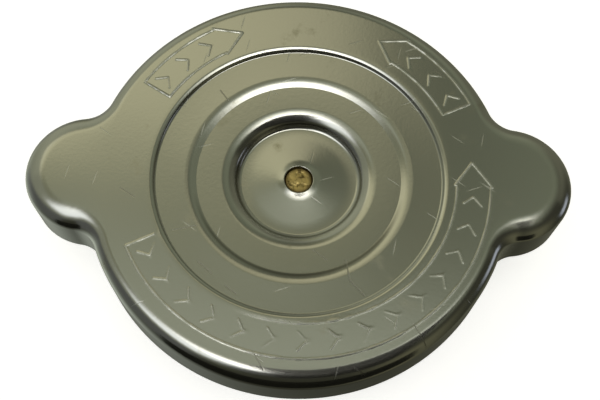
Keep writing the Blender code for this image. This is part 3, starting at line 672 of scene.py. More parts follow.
# %% Build the cover
FACE_SEGMENTS = 240
UNDER_SEGMENTS = 144
RIM_STEPS = 20
CUT_EDGE = 0.3 * MM
EAR_BEND_EXTRA = 1.4 * MM
EAR_BEND_FROM = COVER_RADIUS - 4.0 * MM
EAR_BEND_TO = COVER_RADIUS + 3.0 * MM


def seam(bm, inner, outer):
    """Triangles between two flat loops with different counts, walked round side by side."""
    inner = sorted(inner, key=bearing)
    outer = sorted(outer, key=bearing)
    i = 0
    j = 0
    while i < len(inner) or j < len(outer):
        next_inner = bearing(inner[i + 1]) if i + 1 < len(inner) else bearing(inner[0]) + math.tau
        next_outer = bearing(outer[j + 1]) if j + 1 < len(outer) else bearing(outer[0]) + math.tau
        here = (inner[i % len(inner)], outer[j % len(outer)])
        if j == len(outer) or (i < len(inner) and next_inner <= next_outer):
            bm.faces.new((here[0], inner[(i + 1) % len(inner)], here[1]))
            i += 1
        else:
            bm.faces.new((here[0], outer[(j + 1) % len(outer)], here[1]))
            j += 1


def bearing(vert):
    return math.atan2(vert.co.y, vert.co.x) % math.tau


def outline_loop(bm, inset, z, extra=0.0):
    """The outline moved inwards by an inset, and by an extra one on the ears."""
    loop = []
    for point, inward in outline:
        share = min(max((abs(point.x) - EAR_BEND_FROM) / (EAR_BEND_TO - EAR_BEND_FROM), 0.0), 1.0)
        share = share * share * (3.0 - 2.0 * share)
        moved = point + inward * (inset + extra * share)
        loop.append(bm.verts.new((moved.x, moved.y, z)))
    return loop


def bend_loops(bm, inset, top, bend, steps):
    """Outline loops round the bend between the top and the skirt, wider on the ears."""
    loops = []
    for step in range(steps + 1):
        angle = math.pi / 2.0 * step / steps
        share = 1.0 - math.sin(angle)
        down_by = bend * (1.0 - math.cos(angle))
        loops.append(outline_loop(bm, inset + bend * share, top - down_by, EAR_BEND_EXTRA * share))
    return loops


def edge_loops(bm):
    """Outline loops round the skirt's cut lower edge."""
    corners = [(0.0, SKIRT_BOTTOM + 2.0 * SHEET, 0.0), (0.0, SKIRT_BOTTOM, CUT_EDGE),
               (SHEET, SKIRT_BOTTOM, CUT_EDGE), (SHEET, SKIRT_BOTTOM + 2.0 * SHEET, 0.0)]
    return [outline_loop(bm, inset, z) for inset, z in rounded(corners, closed=False)]


def join(bm, loops):
    for first, second in zip(loops, loops[1:]):
        skin(bm, first, second)


def build_cover():
    bm = bmesh.new()
    under_path = rounded(other_face(FACE[1:], SHEET), closed=False)
    middle = [circle(bm, r, z, even_angles(FACE_SEGMENTS)) for r, z in face_path]
    first_ring = face_path[-1][0] + 0.2 * MM
    last_ring = COVER_RADIUS - RIM_BEND - 0.1 * MM
    count = round((last_ring - first_ring) / FINE_STEP)
    ring_radii = [first_ring + (last_ring - first_ring) * k / count for k in range(count + 1)]
    marked = [circle(bm, r, COVER_TOP, spokes) for r in ring_radii]
    outside = bend_loops(bm, 0.0, COVER_TOP, RIM_BEND, RIM_STEPS)
    inside = bend_loops(bm, SHEET, COVER_TOP - SHEET, RIM_BEND - SHEET, RIM_STEPS // 2)
    cut = edge_loops(bm)
    under = [circle(bm, r, z, even_angles(UNDER_SEGMENTS)) for r, z in under_path]
    for loops in (middle, marked, outside, inside, under, cut):
        join(bm, loops)
    seam(bm, middle[-1], marked[0])
    seam(bm, marked[-1], outside[0])
    skin(bm, outside[-1], cut[0])
    skin(bm, cut[-1], inside[-1])
    seam(bm, under[-1], inside[0])
    seam(bm, under[0], middle[0])
    return as_object("cover_blank", bm)


cover_blank = build_cover()
print("the blank has", sum(len(f.vertices) - 2 for f in cover_blank.data.polygons), "triangles")

# %% [markdown]
# ## Embossing with Geometry Nodes
#
# The press pushes the lines up from below as thin rounded ridges. Geometry Proximity gives each
# point its distance to the nearest line, and a smooth curve turns distance into height: full on
# the line, nothing past its half width. Noise fades some stretches, as handling has worn them,
# and the near side is worn lower than the far one. The tree works on any face and any lines,
# because both are inputs.

# %% The embossing tree
RIDGE_HALF_WIDTH = 0.25 * MM
RIDGE_HEIGHT = 0.12 * MM
WEAR_LENGTH = 2.2 * MM
WORN_SIDE = 20.0 * MM


def new_tree(name, sockets):
    """A modifier tree, the identifiers of its named inputs, and the outputs that give them."""
    tree = bpy.data.node_groups.new(name, "GeometryNodeTree")
    tree.is_modifier = True
    for way in ("INPUT", "OUTPUT"):
        tree.interface.new_socket("Geometry", in_out=way, socket_type="NodeSocketGeometry")
    keys = {}
    for key, kind in sockets.items():
        socket = tree.interface.new_socket(key, in_out="INPUT", socket_type="NodeSocket" + kind)
        keys[key] = socket.identifier
    return tree, keys, add(tree, "NodeGroupInput").outputs


def close_tree(tree, geometry, material):
    """End a tree with real geometry that has its material."""
    real = add(tree, "GeometryNodeRealizeInstances", {"Geometry": geometry})
    painted = add(tree, "GeometryNodeSetMaterial", {"Geometry": real, "Material": material})
    add(tree, "NodeGroupOutput", {0: painted})


def emboss_tree():
    tree, keys, given = new_tree("emboss_lines", {
        "Lines": "Object", "Half Width": "Float", "Height": "Float", "Material": "Material"})
    lines = add(tree, "GeometryNodeObjectInfo", {"Object": given["Lines"]}).outputs["Geometry"]
    near = add(tree, "GeometryNodeProximity", {0: lines}, target_element="EDGES").outputs["Distance"]
    ridge = add(tree, "ShaderNodeMapRange",
                {"Value": near, "From Max": given["Half Width"], "To Min": given["Height"],
                 "To Max": 0.0}, interpolation_type="SMOOTHSTEP")
    place = add(tree, "GeometryNodeInputPosition")
    wear = add(tree, "ShaderNodeTexNoise",
               {"Vector": place, "Scale": 1.0 / WEAR_LENGTH, "Detail": 2.0})
    kept = add(tree, "ShaderNodeMapRange", {"Value": wear, "From Min": 0.36, "From Max": 0.6,
                                            "To Min": 0.45, "To Max": 1.0})
    across = add(tree, "ShaderNodeSeparateXYZ", {"Vector": place})
    side = add(tree, "ShaderNodeMapRange", {"Value": across.outputs["Y"], "From Min": -WORN_SIDE,
                                            "From Max": WORN_SIDE, "To Min": 0.48, "To Max": 1.0})
    worn = add(tree, "ShaderNodeMath", {0: kept, 1: side}, operation="MULTIPLY")
    height = add(tree, "ShaderNodeMath", {0: ridge, 1: worn}, operation="MULTIPLY")
    lift = add(tree, "ShaderNodeCombineXYZ", {"Z": height})
    raised = add(tree, "GeometryNodeSetPosition", {"Geometry": given["Geometry"], "Offset": lift})
    close_tree(tree, raised, given["Material"])
    return tree, keys


def bake_nodes(name, host, tree, keys, values):
    """Run a tree on a host object and keep the result as a plain mesh object."""
    modifier = host.modifiers.new(tree.name, "NODES")
    modifier.node_group = tree
    for key, value in values.items():
        modifier[keys[key]] = value
    graph = bpy.context.evaluated_depsgraph_get()
    mesh = bpy.data.meshes.new_from_object(host.evaluated_get(graph))
    mesh.name = name
    mesh.set_sharp_from_angle(angle=SHARP_EDGE)
    bpy.data.objects.remove(host)
    return in_scene(name, mesh)


# %% Emboss the cover and put it in place
pressed_cover = bake_nodes("pressed_cover", cover_blank, *emboss_tree(), {
    "Lines": mark_line_object, "Half Width": RIDGE_HALF_WIDTH, "Height": RIDGE_HEIGHT,
    "Material": cover_steel})
bpy.data.objects.remove(mark_line_object)
stand_in(pressed_cover, "cover_shell")

# %% [markdown]
# ## Zinc, spring steel, brass and rubber
# The hidden pieces are cheaper. Pressed parts under the cover are zinc plated: paler, duller and
# slightly blotched. The springs and the dished disc are bare spring steel, darker and grained by
# drawing. A skin of oxide on both scatters light, so they are set a little below a full metal. The
# rivet and the washer are brass, dirtied in patches, and a darker ring is painted round the head's
# edge as shade in the gap beside the hole. The vacuum valve is turned brass, and its tool rings are
# drawn coarser than real ones, so that they show. The seals are moulded black rubber with a bloom
# of dust.

# %% Zinc plated steel and spring steel
BLOTCH_LENGTH = 4.0 * MM
ZINC_GRAIN = 0.5 * MM
DRAW_LINE_WIDTH = 0.25 * MM
STEEL_GRAIN_DEPTH = 0.004 * MM


def zinc_plated_steel():
    material, tree = new_material("zinc_plated_steel")
    place = add(tree, "ShaderNodeTexCoord").outputs["Object"]
    blotch, tint = patches(tree, place, BLOTCH_LENGTH, 5.0, 0.6, "#c9c9c2", "#a9a596")
    rough = add(tree, "ShaderNodeMapRange", {"Value": blotch, "From Min": 0.3, "From Max": 0.7,
                                             "To Min": 0.26, "To Max": 0.42})
    bump = grain(tree, place, ZINC_GRAIN, 2.0, STEEL_GRAIN_DEPTH)
    coat(tree, {"Base Color": tint, "Roughness": rough, "Normal": bump, "Metallic": 0.6})
    return material


def drawn_spring_steel():
    material, tree = new_material("drawn_spring_steel")
    place = add(tree, "ShaderNodeTexCoord").outputs["Object"]
    tint = patches(tree, place, BLOTCH_LENGTH, 4.0, 0.5, "#a5a6a4", "#7d7b74")[1]
    bump = grain(tree, place, DRAW_LINE_WIDTH, 2.0, STEEL_GRAIN_DEPTH)
    coat(tree, {"Base Color": tint, "Roughness": 0.3, "Normal": bump, "Metallic": 0.75})
    return material


zinc_steel = zinc_plated_steel()
spring_steel = drawn_spring_steel()
print("made", zinc_steel.name, "and", spring_steel.name)

# %% Brass, worn on the rivet and turned on the vacuum valve
TOOL_RING_PITCH = 0.35 * MM
TOOL_RING_DEPTH = 0.002 * MM
GRIME_LENGTH = 1.4 * MM
PIT_DEPTH = 0.035 * MM
HEAD_RADIUS = 2.55 * MM
HEAD_SHADE_WIDTH = 0.8 * MM


def worn_brass_with_edge_shade():
    material, tree = new_material("worn_rivet_brass_edge_shaded")
    place = add(tree, "ShaderNodeTexCoord").outputs["Object"]
    grime = add(tree, "ShaderNodeTexNoise", {"Vector": place, "Scale": 1.0 / GRIME_LENGTH,
                                             "Detail": 6.0, "Roughness": 0.65})
    dirty = add(tree, "ShaderNodeMapRange", {"Value": grime, "From Min": 0.46, "From Max": 0.66},
                interpolation_type="SMOOTHSTEP")
    # Real dirt patches, and painted shade: a darker ring round the head's edge, in the gap beside the
    # collar's hole.
    dirt_and_edge_shade = strongest(tree, [dirty, painted_shade_ring(tree, place, HEAD_RADIUS, HEAD_SHADE_WIDTH)])
    tint = add(tree, "ShaderNodeMix", {"Factor": dirt_and_edge_shade, 6: linear("#c9b373"),
                                       7: linear("#5a4c28")}, data_type="RGBA")
    rough = add(tree, "ShaderNodeMapRange", {"Value": dirt_and_edge_shade, "To Min": 0.3, "To Max": 0.6})
    bump = add(tree, "ShaderNodeBump", {"Height": grime, "Strength": 1.0, "Distance": PIT_DEPTH})
    coat(tree, {"Base Color": tint, "Roughness": rough, "Normal": bump, "Metallic": 0.9})
    return material


def turned_brass():
    material, tree = new_material("turned_valve_brass")
    place = add(tree, "ShaderNodeTexCoord").outputs["Object"]
    tint = patches(tree, place, BLOTCH_LENGTH, 4.0, 0.5, "#d8b765", "#a98a45")[1]
    turns = add(tree, "ShaderNodeMath", {0: from_axis(tree, place), 1: math.tau / TOOL_RING_PITCH},
                operation="MULTIPLY")
    groove = add(tree, "ShaderNodeMath", {0: turns}, operation="SINE")
    bump = add(tree, "ShaderNodeBump", {"Height": groove, "Strength": 1.0,
                                        "Distance": TOOL_RING_DEPTH})
    coat(tree, {"Base Color": tint, "Roughness": 0.26, "Normal": bump, "Metallic": 1.0})
    return material


rivet_brass = worn_brass_with_edge_shade()
valve_brass = turned_brass()
print("made", rivet_brass.name, "and", valve_brass.name)

# %% Moulded rubber
RUBBER_GRAIN = 0.35 * MM
RUBBER_GRAIN_DEPTH = 0.01 * MM


def moulded_rubber():
    material, tree = new_material("moulded_black_rubber")
    place = add(tree, "ShaderNodeTexCoord").outputs["Object"]
    bloom = add(tree, "ShaderNodeTexNoise", {"Vector": place, "Scale": 1.0 / BLOTCH_LENGTH,
                                             "Detail": 6.0, "Roughness": 0.6})
    dusty = add(tree, "ShaderNodeMapRange", {"Value": bloom, "From Min": 0.45, "From Max": 0.8})
    tint = add(tree, "ShaderNodeMix", {"Factor": dusty, 6: linear("#1c1c1d"),
                                       7: linear("#4a4843")}, data_type="RGBA")
    bump = grain(tree, place, RUBBER_GRAIN, 2.0, RUBBER_GRAIN_DEPTH)
    coat(tree, {"Base Color": tint, "Roughness": 0.55, "Normal": bump})
    return material


seal_rubber = moulded_rubber()
print("made", seal_rubber.name)

# %% [markdown]
# ## The centre rivet
#
# The rivet holds the valve unit to the cover and lets it turn. Its closed head fills the collar's
# hole, a little below the edge, and service has hammered and dirtied it. It is a turned section,
# closed on the axis, with rings close together over its head. Noise about a millimetre long
# then pushes the head's points down, never up, which leaves dents.

# %% Rivet
FOOT_RADIUS, RIVET_BOTTOM, RIVET_TOP = levels("centre_rivet")
SHANK_RADIUS = 1.95 * MM
FOOT_TOP = RIVET_BOTTOM + 1.5 * MM
HEAD_RINGS = 14
HEAD_FLAT = HEAD_RADIUS - 0.4 * MM
HEAD_UNDER = RIVET_TOP - 0.75 * MM
DENTED_FROM = RIVET_TOP - 0.3 * MM
DENT_LENGTH = 1.1 * MM
DENT_DEPTH = 0.16 * MM


def rivet_section():
    head = [(HEAD_FLAT * k / HEAD_RINGS, RIVET_TOP, 0.0) for k in range(HEAD_RINGS + 1)]
    return rounded(head + [
        (HEAD_RADIUS, RIVET_TOP - 0.02 * MM, 0.3 * MM),
        (HEAD_RADIUS, HEAD_UNDER, 0.1 * MM),
        (SHANK_RADIUS, HEAD_UNDER, 0.0),
        (SHANK_RADIUS, FOOT_TOP, 0.0),
        (FOOT_RADIUS, FOOT_TOP, 0.15 * MM),
        (FOOT_RADIUS * 0.94, FOOT_TOP - 0.8 * MM, 0.6 * MM),
        (FOOT_RADIUS * 0.62, RIVET_BOTTOM, 0.6 * MM),
        (0.0, RIVET_BOTTOM, 0.0),
    ])


def finish_piece(piece, material, node):
    """Give a turned piece its material and let it stand for its solid."""
    piece.data.materials.append(material)
    stand_in(piece, node)


def dent_head(piece):
    """Push points of the head down where the noise is high."""
    for vert in piece.data.vertices:
        if vert.co.z > DENTED_FROM:
            hit = noise.noise(vert.co / DENT_LENGTH) + 0.5 * noise.noise(vert.co * 2.3 / DENT_LENGTH)
            vert.co.z -= DENT_DEPTH * max(0.0, hit)


rivet = turned("rivet_with_dented_head", rivet_section(), SMALL_SEGMENTS)
dent_head(rivet)
finish_piece(rivet, rivet_brass, "centre_rivet")

# %% Washers on the rivet
RIVET_HOLE = SHANK_RADIUS + 0.08 * MM


def washer_section(node, edge):
    """A plain ring between the rivet's hole and the solid's rim."""
    radius, low, high = levels(node)
    return rounded([(RIVET_HOLE, high, edge), (radius, high, edge), (radius, low, edge),
                    (RIVET_HOLE, low, edge)])


finish_piece(turned("brass_thrust_washer", washer_section("thrust_washer", 0.12 * MM)),
             rivet_brass, "thrust_washer")
finish_piece(turned("steel_cage_washer", washer_section("cage_washer", 0.15 * MM)),
             zinc_steel, "cage_washer")

# %% [markdown]
# ## The locking cup
#
# The cup is pressed, and two claws are left standing inwards on its lower edge. They hook under
# the neck's flange. One section serves all round, only the radius of its inner edge changes with
# the angle, so the cup is a ring of such sections with extra ones where a claw's corner curves.

# %% Locking cup
CUP_RADIUS, CUP_BOTTOM, CUP_TOP = levels("locking_cup")
HEM_REACH = 1.4 * MM
CLAW_REACH = 4.4 * MM
CLAW_HALF_ANGLE = 25.0
CLAW_CORNER_ANGLE = 4.0
CUP_WELL_TOP = WELL_FLOOR - SHEET - 0.3 * MM
CUP_WELL_RADIUS = WELL_RADIUS + WELL_RUN + SHEET
BOSS_RADIUS = 4.0 * MM
BOSS_SHARE = (WELL_RADIUS - BOSS_RADIUS) / (WELL_RADIUS - HOLE_RADIUS)
BOSS_TOP = CUP_WELL_TOP + COLLAR_RISE * BOSS_SHARE


def cup_section(edge_radius):
    slope_radius = CUP_WELL_RADIUS + (CUP_TOP - CUP_WELL_TOP) * 0.6
    return sheet([
        (RIVET_HOLE, BOSS_TOP, 0.0),
        (BOSS_RADIUS, BOSS_TOP, 0.6 * MM),
        (BOSS_RADIUS + 2.4 * MM, CUP_WELL_TOP, 1.2 * MM),
        (CUP_WELL_RADIUS, CUP_WELL_TOP, 0.3 * MM),
        (slope_radius, CUP_TOP, 1.2 * MM),
        (CUP_RADIUS, CUP_TOP, 1.6 * MM),
        (CUP_RADIUS, CUP_BOTTOM, 1.1 * MM),
        (edge_radius, CUP_BOTTOM, 0.0),
    ], SHEET, 0.2 * MM)


def claw_edge(degrees):
    """Radius of the cup's turned-in edge: a narrow hem, and two rounded claws."""
    inner_wall = CUP_RADIUS - SHEET
    from_claw = abs(abs(math.remainder(degrees, 360.0)) - 90.0)
    share = min(max((from_claw - CLAW_HALF_ANGLE) / CLAW_CORNER_ANGLE, 0.0), 1.0)
    reach = HEM_REACH + (CLAW_REACH - HEM_REACH) * math.sqrt(1.0 - share ** 2)
    return inner_wall - reach


print("the claws reach", round(1000 * (claw_edge(0.0) - claw_edge(90.0)), 2), "mm past the hem")

# %% Build the cup
EVEN_CUP_ANGLES = 216


def build_cup():
    edges = [claw + side * (CLAW_HALF_ANGLE + CLAW_CORNER_ANGLE * math.sin(math.pi / 2.0 * k / 10))
             for claw in (90.0, 270.0) for side in (-1.0, 1.0) for k in range(11)]
    step = 360.0 / EVEN_CUP_ANGLES
    even = [k * step for k in range(EVEN_CUP_ANGLES)]
    kept = [a for a in even if all(abs(a - other) > step * 0.25 for other in edges)]
    bm = bmesh.new()
    ribs = []
    for degrees in sorted(kept + edges):
        angle = math.radians(degrees)
        turn = Matrix.Rotation(angle, 3, "Z")
        ribs.append([bm.verts.new(turn @ Vector((r, 0.0, z))) for r, z in cup_section(claw_edge(degrees))])
    join(bm, ribs + ribs[:1])
    return as_object("pressed_locking_cup", bm)


finish_piece(build_cup(), zinc_steel, "locking_cup")

# %% [markdown]
# ## Spring disc, neck seal and seal plate
#
# The dished disc is the spring that presses the rubber ring on the neck's mouth. The plate below
# holds the ring by its inner edge. All three are turned sections.

# %% Disc, seal and plate
DISC_RADIUS, _, DISC_RIM_TOP = levels("spring_disc")
DISC_SHEET = 0.5 * MM
DISC_TOP = levels("thrust_washer")[1] - 0.3 * MM
DISC_FLAT = 12.0 * MM
SEAL_RADIUS, SEAL_LOW, SEAL_HIGH = levels("neck_seal")
NECK_SEAL_BORE = SEAL_RADIUS - 9.8 * MM
PLATE_GRIP = 2.0 * MM
REBATE_RADIUS = NECK_SEAL_BORE + PLATE_GRIP + 0.3 * MM
REBATE_LEVEL = SEAL_LOW + 0.4 * MM
HOLDER_RADIUS, _, HOLDER_TOP = levels("seal_plate")
HOLDER_FLAT = levels("valve_cage")[2] + 1.0 * MM
HOLDER_SHEET = 0.7 * MM

finish_piece(turned("dished_spring_disc", sheet([
    (RIVET_HOLE, DISC_TOP, 0.0),
    (DISC_FLAT, DISC_TOP, 6.0 * MM),
    (DISC_RADIUS - 11.0 * MM, DISC_RIM_TOP, 8.0 * MM),
    (DISC_RADIUS, DISC_RIM_TOP, 0.0),
], DISC_SHEET, 0.1 * MM)), spring_steel, "spring_disc")
finish_piece(turned("rubber_neck_seal", rounded([
    (NECK_SEAL_BORE, SEAL_HIGH, 0.2 * MM),
    (SEAL_RADIUS, SEAL_HIGH, 0.5 * MM),
    (SEAL_RADIUS, SEAL_LOW, 0.5 * MM),
    (REBATE_RADIUS, SEAL_LOW, 0.15 * MM),
    (REBATE_RADIUS, REBATE_LEVEL, 0.1 * MM),
    (NECK_SEAL_BORE, REBATE_LEVEL, 0.2 * MM),
])), seal_rubber, "neck_seal")
finish_piece(turned("seal_holding_plate", sheet([
    (RIVET_HOLE, HOLDER_FLAT, 0.0),
    (HOLDER_RADIUS - 7.4 * MM, HOLDER_FLAT, 2.0 * MM),
    (HOLDER_RADIUS - 3.4 * MM, HOLDER_TOP, 2.0 * MM),
    (HOLDER_RADIUS, HOLDER_TOP, 0.0),
], HOLDER_SHEET, 0.15 * MM)), zinc_steel, "seal_plate")

# %% [markdown]
# ## Cage and guide cup
#
# The cage hangs from the rivet, and the guide cup slides on its flange. Both are drawn cups with
# punched openings: four windows in the cage's wall, four vents in the guide cup's floor. One
# Geometry Nodes tree punches both. It stands copies of a punch on a circle, turns each one
# outwards, and takes them away with a Boolean. Count and circle are inputs.

# %% The punching tree
def punch_tree():
    tree, keys, given = new_tree("punch_openings", {
        "Punch": "Object", "Count": "Int", "Circle": "Float", "Level": "Float",
        "Material": "Material"})
    stand = add(tree, "GeometryNodeMeshCircle", {"Vertices": given["Count"], "Radius": given["Circle"]})
    lift = add(tree, "ShaderNodeCombineXYZ", {"Z": given["Level"]})
    share = add(tree, "ShaderNodeMath", {0: math.pi, 1: given["Count"]}, operation="DIVIDE")
    spin = add(tree, "ShaderNodeCombineXYZ", {"Z": share})
    placed = add(tree, "GeometryNodeTransform",
                 {"Geometry": stand, "Translation": lift, "Rotation": spin})
    outward = add(tree, "ShaderNodeVectorMath",
                  {0: add(tree, "GeometryNodeInputPosition"), 1: (1.0, 1.0, 0.0)},
                  operation="MULTIPLY")
    turn = add(tree, "FunctionNodeAlignRotationToVector", {"Vector": outward}, axis="X")
    punch = add(tree, "GeometryNodeObjectInfo", {"Object": given["Punch"]}).outputs["Geometry"]
    copies = add(tree, "GeometryNodeInstanceOnPoints",
                 {"Points": placed, "Instance": punch, "Rotation": turn})
    solid = add(tree, "GeometryNodeRealizeInstances", {"Geometry": copies})
    cut = add(tree, "GeometryNodeMeshBoolean", {"Mesh 1": given["Geometry"], "Mesh 2": solid},
              operation="DIFFERENCE", solver="EXACT")
    close_tree(tree, cut, given["Material"])
    return tree, keys


punching, punch_keys = punch_tree()


def punched(piece_name, node, section, punch, circle_radius, level):
    """Turn a cup, cut four openings round it, and let it stand for its solid."""
    piece = bake_nodes(piece_name, turned("cup_blank", section), punching, punch_keys, {
        "Punch": punch, "Count": 4, "Circle": circle_radius, "Level": level,
        "Material": zinc_steel})
    bpy.data.objects.remove(punch)
    stand_in(piece, node)


print("the punching tree has", len(punching.nodes), "nodes")

# %% Valve cage
FLANGE_RADIUS, FLANGE_LOW, CAGE_TOP = levels("valve_cage")
CAGE_SHEET = 0.7 * MM
CAGE_RADIUS = FLANGE_RADIUS - 1.4 * MM
FLANGE_TOP = FLANGE_LOW + CAGE_SHEET
WINDOW_HALF_HEIGHT = (CAGE_TOP - FLANGE_TOP) / 2.0 - 2.6 * MM
WINDOW_HALF_WIDTH = 3.0 * MM
WINDOW_CORNER = 1.0 * MM


def window_punch():
    """A block with rounded corners that passes through the cage's wall."""
    corners = [(y * WINDOW_HALF_WIDTH, z * WINDOW_HALF_HEIGHT, WINDOW_CORNER)
               for y, z in ((-1, -1), (1, -1), (1, 1), (-1, 1))]
    bm = bmesh.new()
    near, far = ([bm.verts.new((x, y, z)) for y, z in rounded(corners)]
                 for x in (-3.0 * CAGE_SHEET, 3.0 * CAGE_SHEET))
    bm.faces.new(near)
    bm.faces.new(far)
    skin(bm, near, far)
    return as_object("window_punch", bm)


punched("valve_cage_with_windows", "valve_cage", sheet([
    (RIVET_HOLE, CAGE_TOP, 0.0),
    (CAGE_RADIUS, CAGE_TOP, 1.2 * MM),
    (CAGE_RADIUS, FLANGE_TOP, 0.4 * MM),
    (FLANGE_RADIUS, FLANGE_TOP, 0.0),
], CAGE_SHEET, 0.15 * MM), window_punch(), CAGE_RADIUS, (CAGE_TOP + FLANGE_TOP) / 2.0)

# %% Guide cup
GUIDE_RADIUS, GUIDE_BOTTOM, GUIDE_TOP = levels("guide_cup")
GUIDE_SHEET = 0.7 * MM
GUIDE_LIP = CAGE_RADIUS + 0.4 * MM
STEM_RADIUS = 1.5 * MM
STEM_HOLE = STEM_RADIUS + 0.1 * MM
VENT_RADIUS = 1.2 * MM
VENT_CIRCLE = 4.5 * MM
VENT_SEGMENTS = 40


def vent_punch():
    bm = bmesh.new()
    bmesh.ops.create_cone(bm, cap_ends=True, segments=VENT_SEGMENTS, radius1=VENT_RADIUS,
                          radius2=VENT_RADIUS, depth=4.0 * GUIDE_SHEET)
    return as_object("vent_punch", bm)


punched("guide_cup_with_vents", "guide_cup", sheet([
    (GUIDE_LIP, GUIDE_TOP, 0.0),
    (GUIDE_RADIUS, GUIDE_TOP, 1.0 * MM),
    (GUIDE_RADIUS, GUIDE_BOTTOM, 1.0 * MM),
    (STEM_HOLE, GUIDE_BOTTOM, 0.0),
], GUIDE_SHEET, 0.12 * MM), vent_punch(), VENT_CIRCLE, GUIDE_BOTTOM + GUIDE_SHEET / 2.0)

# %% [markdown]
# ## Valve plate, pressure seal and vacuum valve
#
# The plate's rim is folded under the edge of the rubber ring. The ring stands proud of the fold,
# where it meets the neck's seat, and thins to a lip in the middle, where the brass disc of the
# vacuum valve closes on it from below. The disc's stem goes up through the guide cup to a cap.

# %% Plate, seal, valve disc and cap
PLATE_RADIUS, PLATE_BOTTOM, PLATE_TOP = levels("valve_plate")
PLATE_SHEET = 0.8 * MM
PLATE_FOLD = 3.1 * MM
PLATE_HOLE = 6.5 * MM
RING_RADIUS, RING_FACE, RING_TOP = levels("pressure_seal")
RING_EDGE_LEVEL = RING_FACE + 0.5 * MM
RING_INNER_RADIUS = 13.0 * MM
FOLD_INNER_RADIUS = PLATE_RADIUS - PLATE_FOLD - 0.3 * MM
LIP_LEVEL = RING_TOP - 1.3 * MM
VALVE_RADIUS, VALVE_LOW, STEM_TOP = levels("vacuum_valve")
VALVE_DISC_TOP = VALVE_LOW + 0.8 * MM
CAP_RADIUS, CAP_LOW, CAP_HIGH = levels("vacuum_spring_cap")

finish_piece(turned("folded_valve_plate", sheet([
    (PLATE_HOLE, PLATE_TOP, 0.0),
    (PLATE_RADIUS, PLATE_TOP, 1.1 * MM),
    (PLATE_RADIUS, PLATE_BOTTOM, 1.1 * MM),
    (PLATE_RADIUS - PLATE_FOLD, PLATE_BOTTOM, 0.0),
], PLATE_SHEET, 0.2 * MM)), zinc_steel, "valve_plate")
finish_piece(turned("rubber_pressure_seal", rounded([
    (PLATE_HOLE, RING_TOP, 0.2 * MM),
    (RING_RADIUS, RING_TOP, 0.5 * MM),
    (RING_RADIUS, RING_EDGE_LEVEL, 0.5 * MM),
    (FOLD_INNER_RADIUS, RING_EDGE_LEVEL, 0.1 * MM),
    (FOLD_INNER_RADIUS, RING_FACE, 0.25 * MM),
    (RING_INNER_RADIUS, RING_FACE, 0.25 * MM),
    (RING_INNER_RADIUS, LIP_LEVEL, 0.4 * MM),
    (PLATE_HOLE, LIP_LEVEL, 0.2 * MM),
])), seal_rubber, "pressure_seal")
finish_piece(turned("vacuum_valve_disc", rounded([
    (0.0, STEM_TOP, 0.0),
    (STEM_RADIUS, STEM_TOP, 0.4 * MM),
    (STEM_RADIUS, VALVE_DISC_TOP, 0.4 * MM),
    (VALVE_RADIUS, VALVE_DISC_TOP, 0.1 * MM),
    (VALVE_RADIUS, VALVE_LOW, 0.4 * MM),
    (0.0, VALVE_LOW, 0.0),
])), valve_brass, "vacuum_valve")
finish_piece(turned("stem_cap", rounded([
    (STEM_HOLE, CAP_HIGH, 0.1 * MM),
    (CAP_RADIUS, CAP_HIGH, 0.4 * MM),
    (CAP_RADIUS, CAP_LOW, 0.1 * MM),
    (STEM_HOLE, CAP_LOW, 0.1 * MM),
]), SMALL_SEGMENTS), valve_brass, "vacuum_spring_cap")

# %% [markdown]
# ## Coil springs with Geometry Nodes
#
# A compression spring is a helix whose end turns lie close together, so that it stands square. A
# straight line is resampled, and each point is put at its turn's angle and height. Sweeping a
# circle along it gives the wire. The sums are a short list: each line names a result and the two
# terms that it comes from, and a loop adds the node. Both springs come from this one tree.

# %% The spring tree
WIRE_SEGMENTS = 20
SPRING_SUMS = [
    ("turns", "Active Turns", "ADD", 2.0),
    ("turn", "share", "MULTIPLY", "turns"),
    ("angle", "turn", "MULTIPLY", math.tau),
    ("end pitch", "Wire Radius", "MULTIPLY", 2.25),
    ("both ends", "end pitch", "MULTIPLY", 2.0),
    ("lowest", "Low", "ADD", "Wire Radius"),
    ("highest", "High", "SUBTRACT", "Wire Radius"),
    ("height", "highest", "SUBTRACT", "lowest"),
    ("open length", "height", "SUBTRACT", "both ends"),
    ("pitch", "open length", "DIVIDE", "Active Turns"),
    ("past end turn", "turn", "SUBTRACT", 1.0),
    ("begun", "past end turn", "MAXIMUM", 0.0),
    ("active", "begun", "MINIMUM", "Active Turns"),
    ("closed", "turn", "SUBTRACT", "active"),
    ("closed rise", "closed", "MULTIPLY", "end pitch"),
    ("active rise", "active", "MULTIPLY", "pitch"),
    ("rise", "closed rise", "ADD", "active rise"),
    ("Z", "lowest", "ADD", "rise"),
    ("cosine", "angle", "COSINE", 0.0),
    ("X", "cosine", "MULTIPLY", "Radius"),
    ("sine", "angle", "SINE", 0.0),
    ("Y", "sine", "MULTIPLY", "Radius"),
]


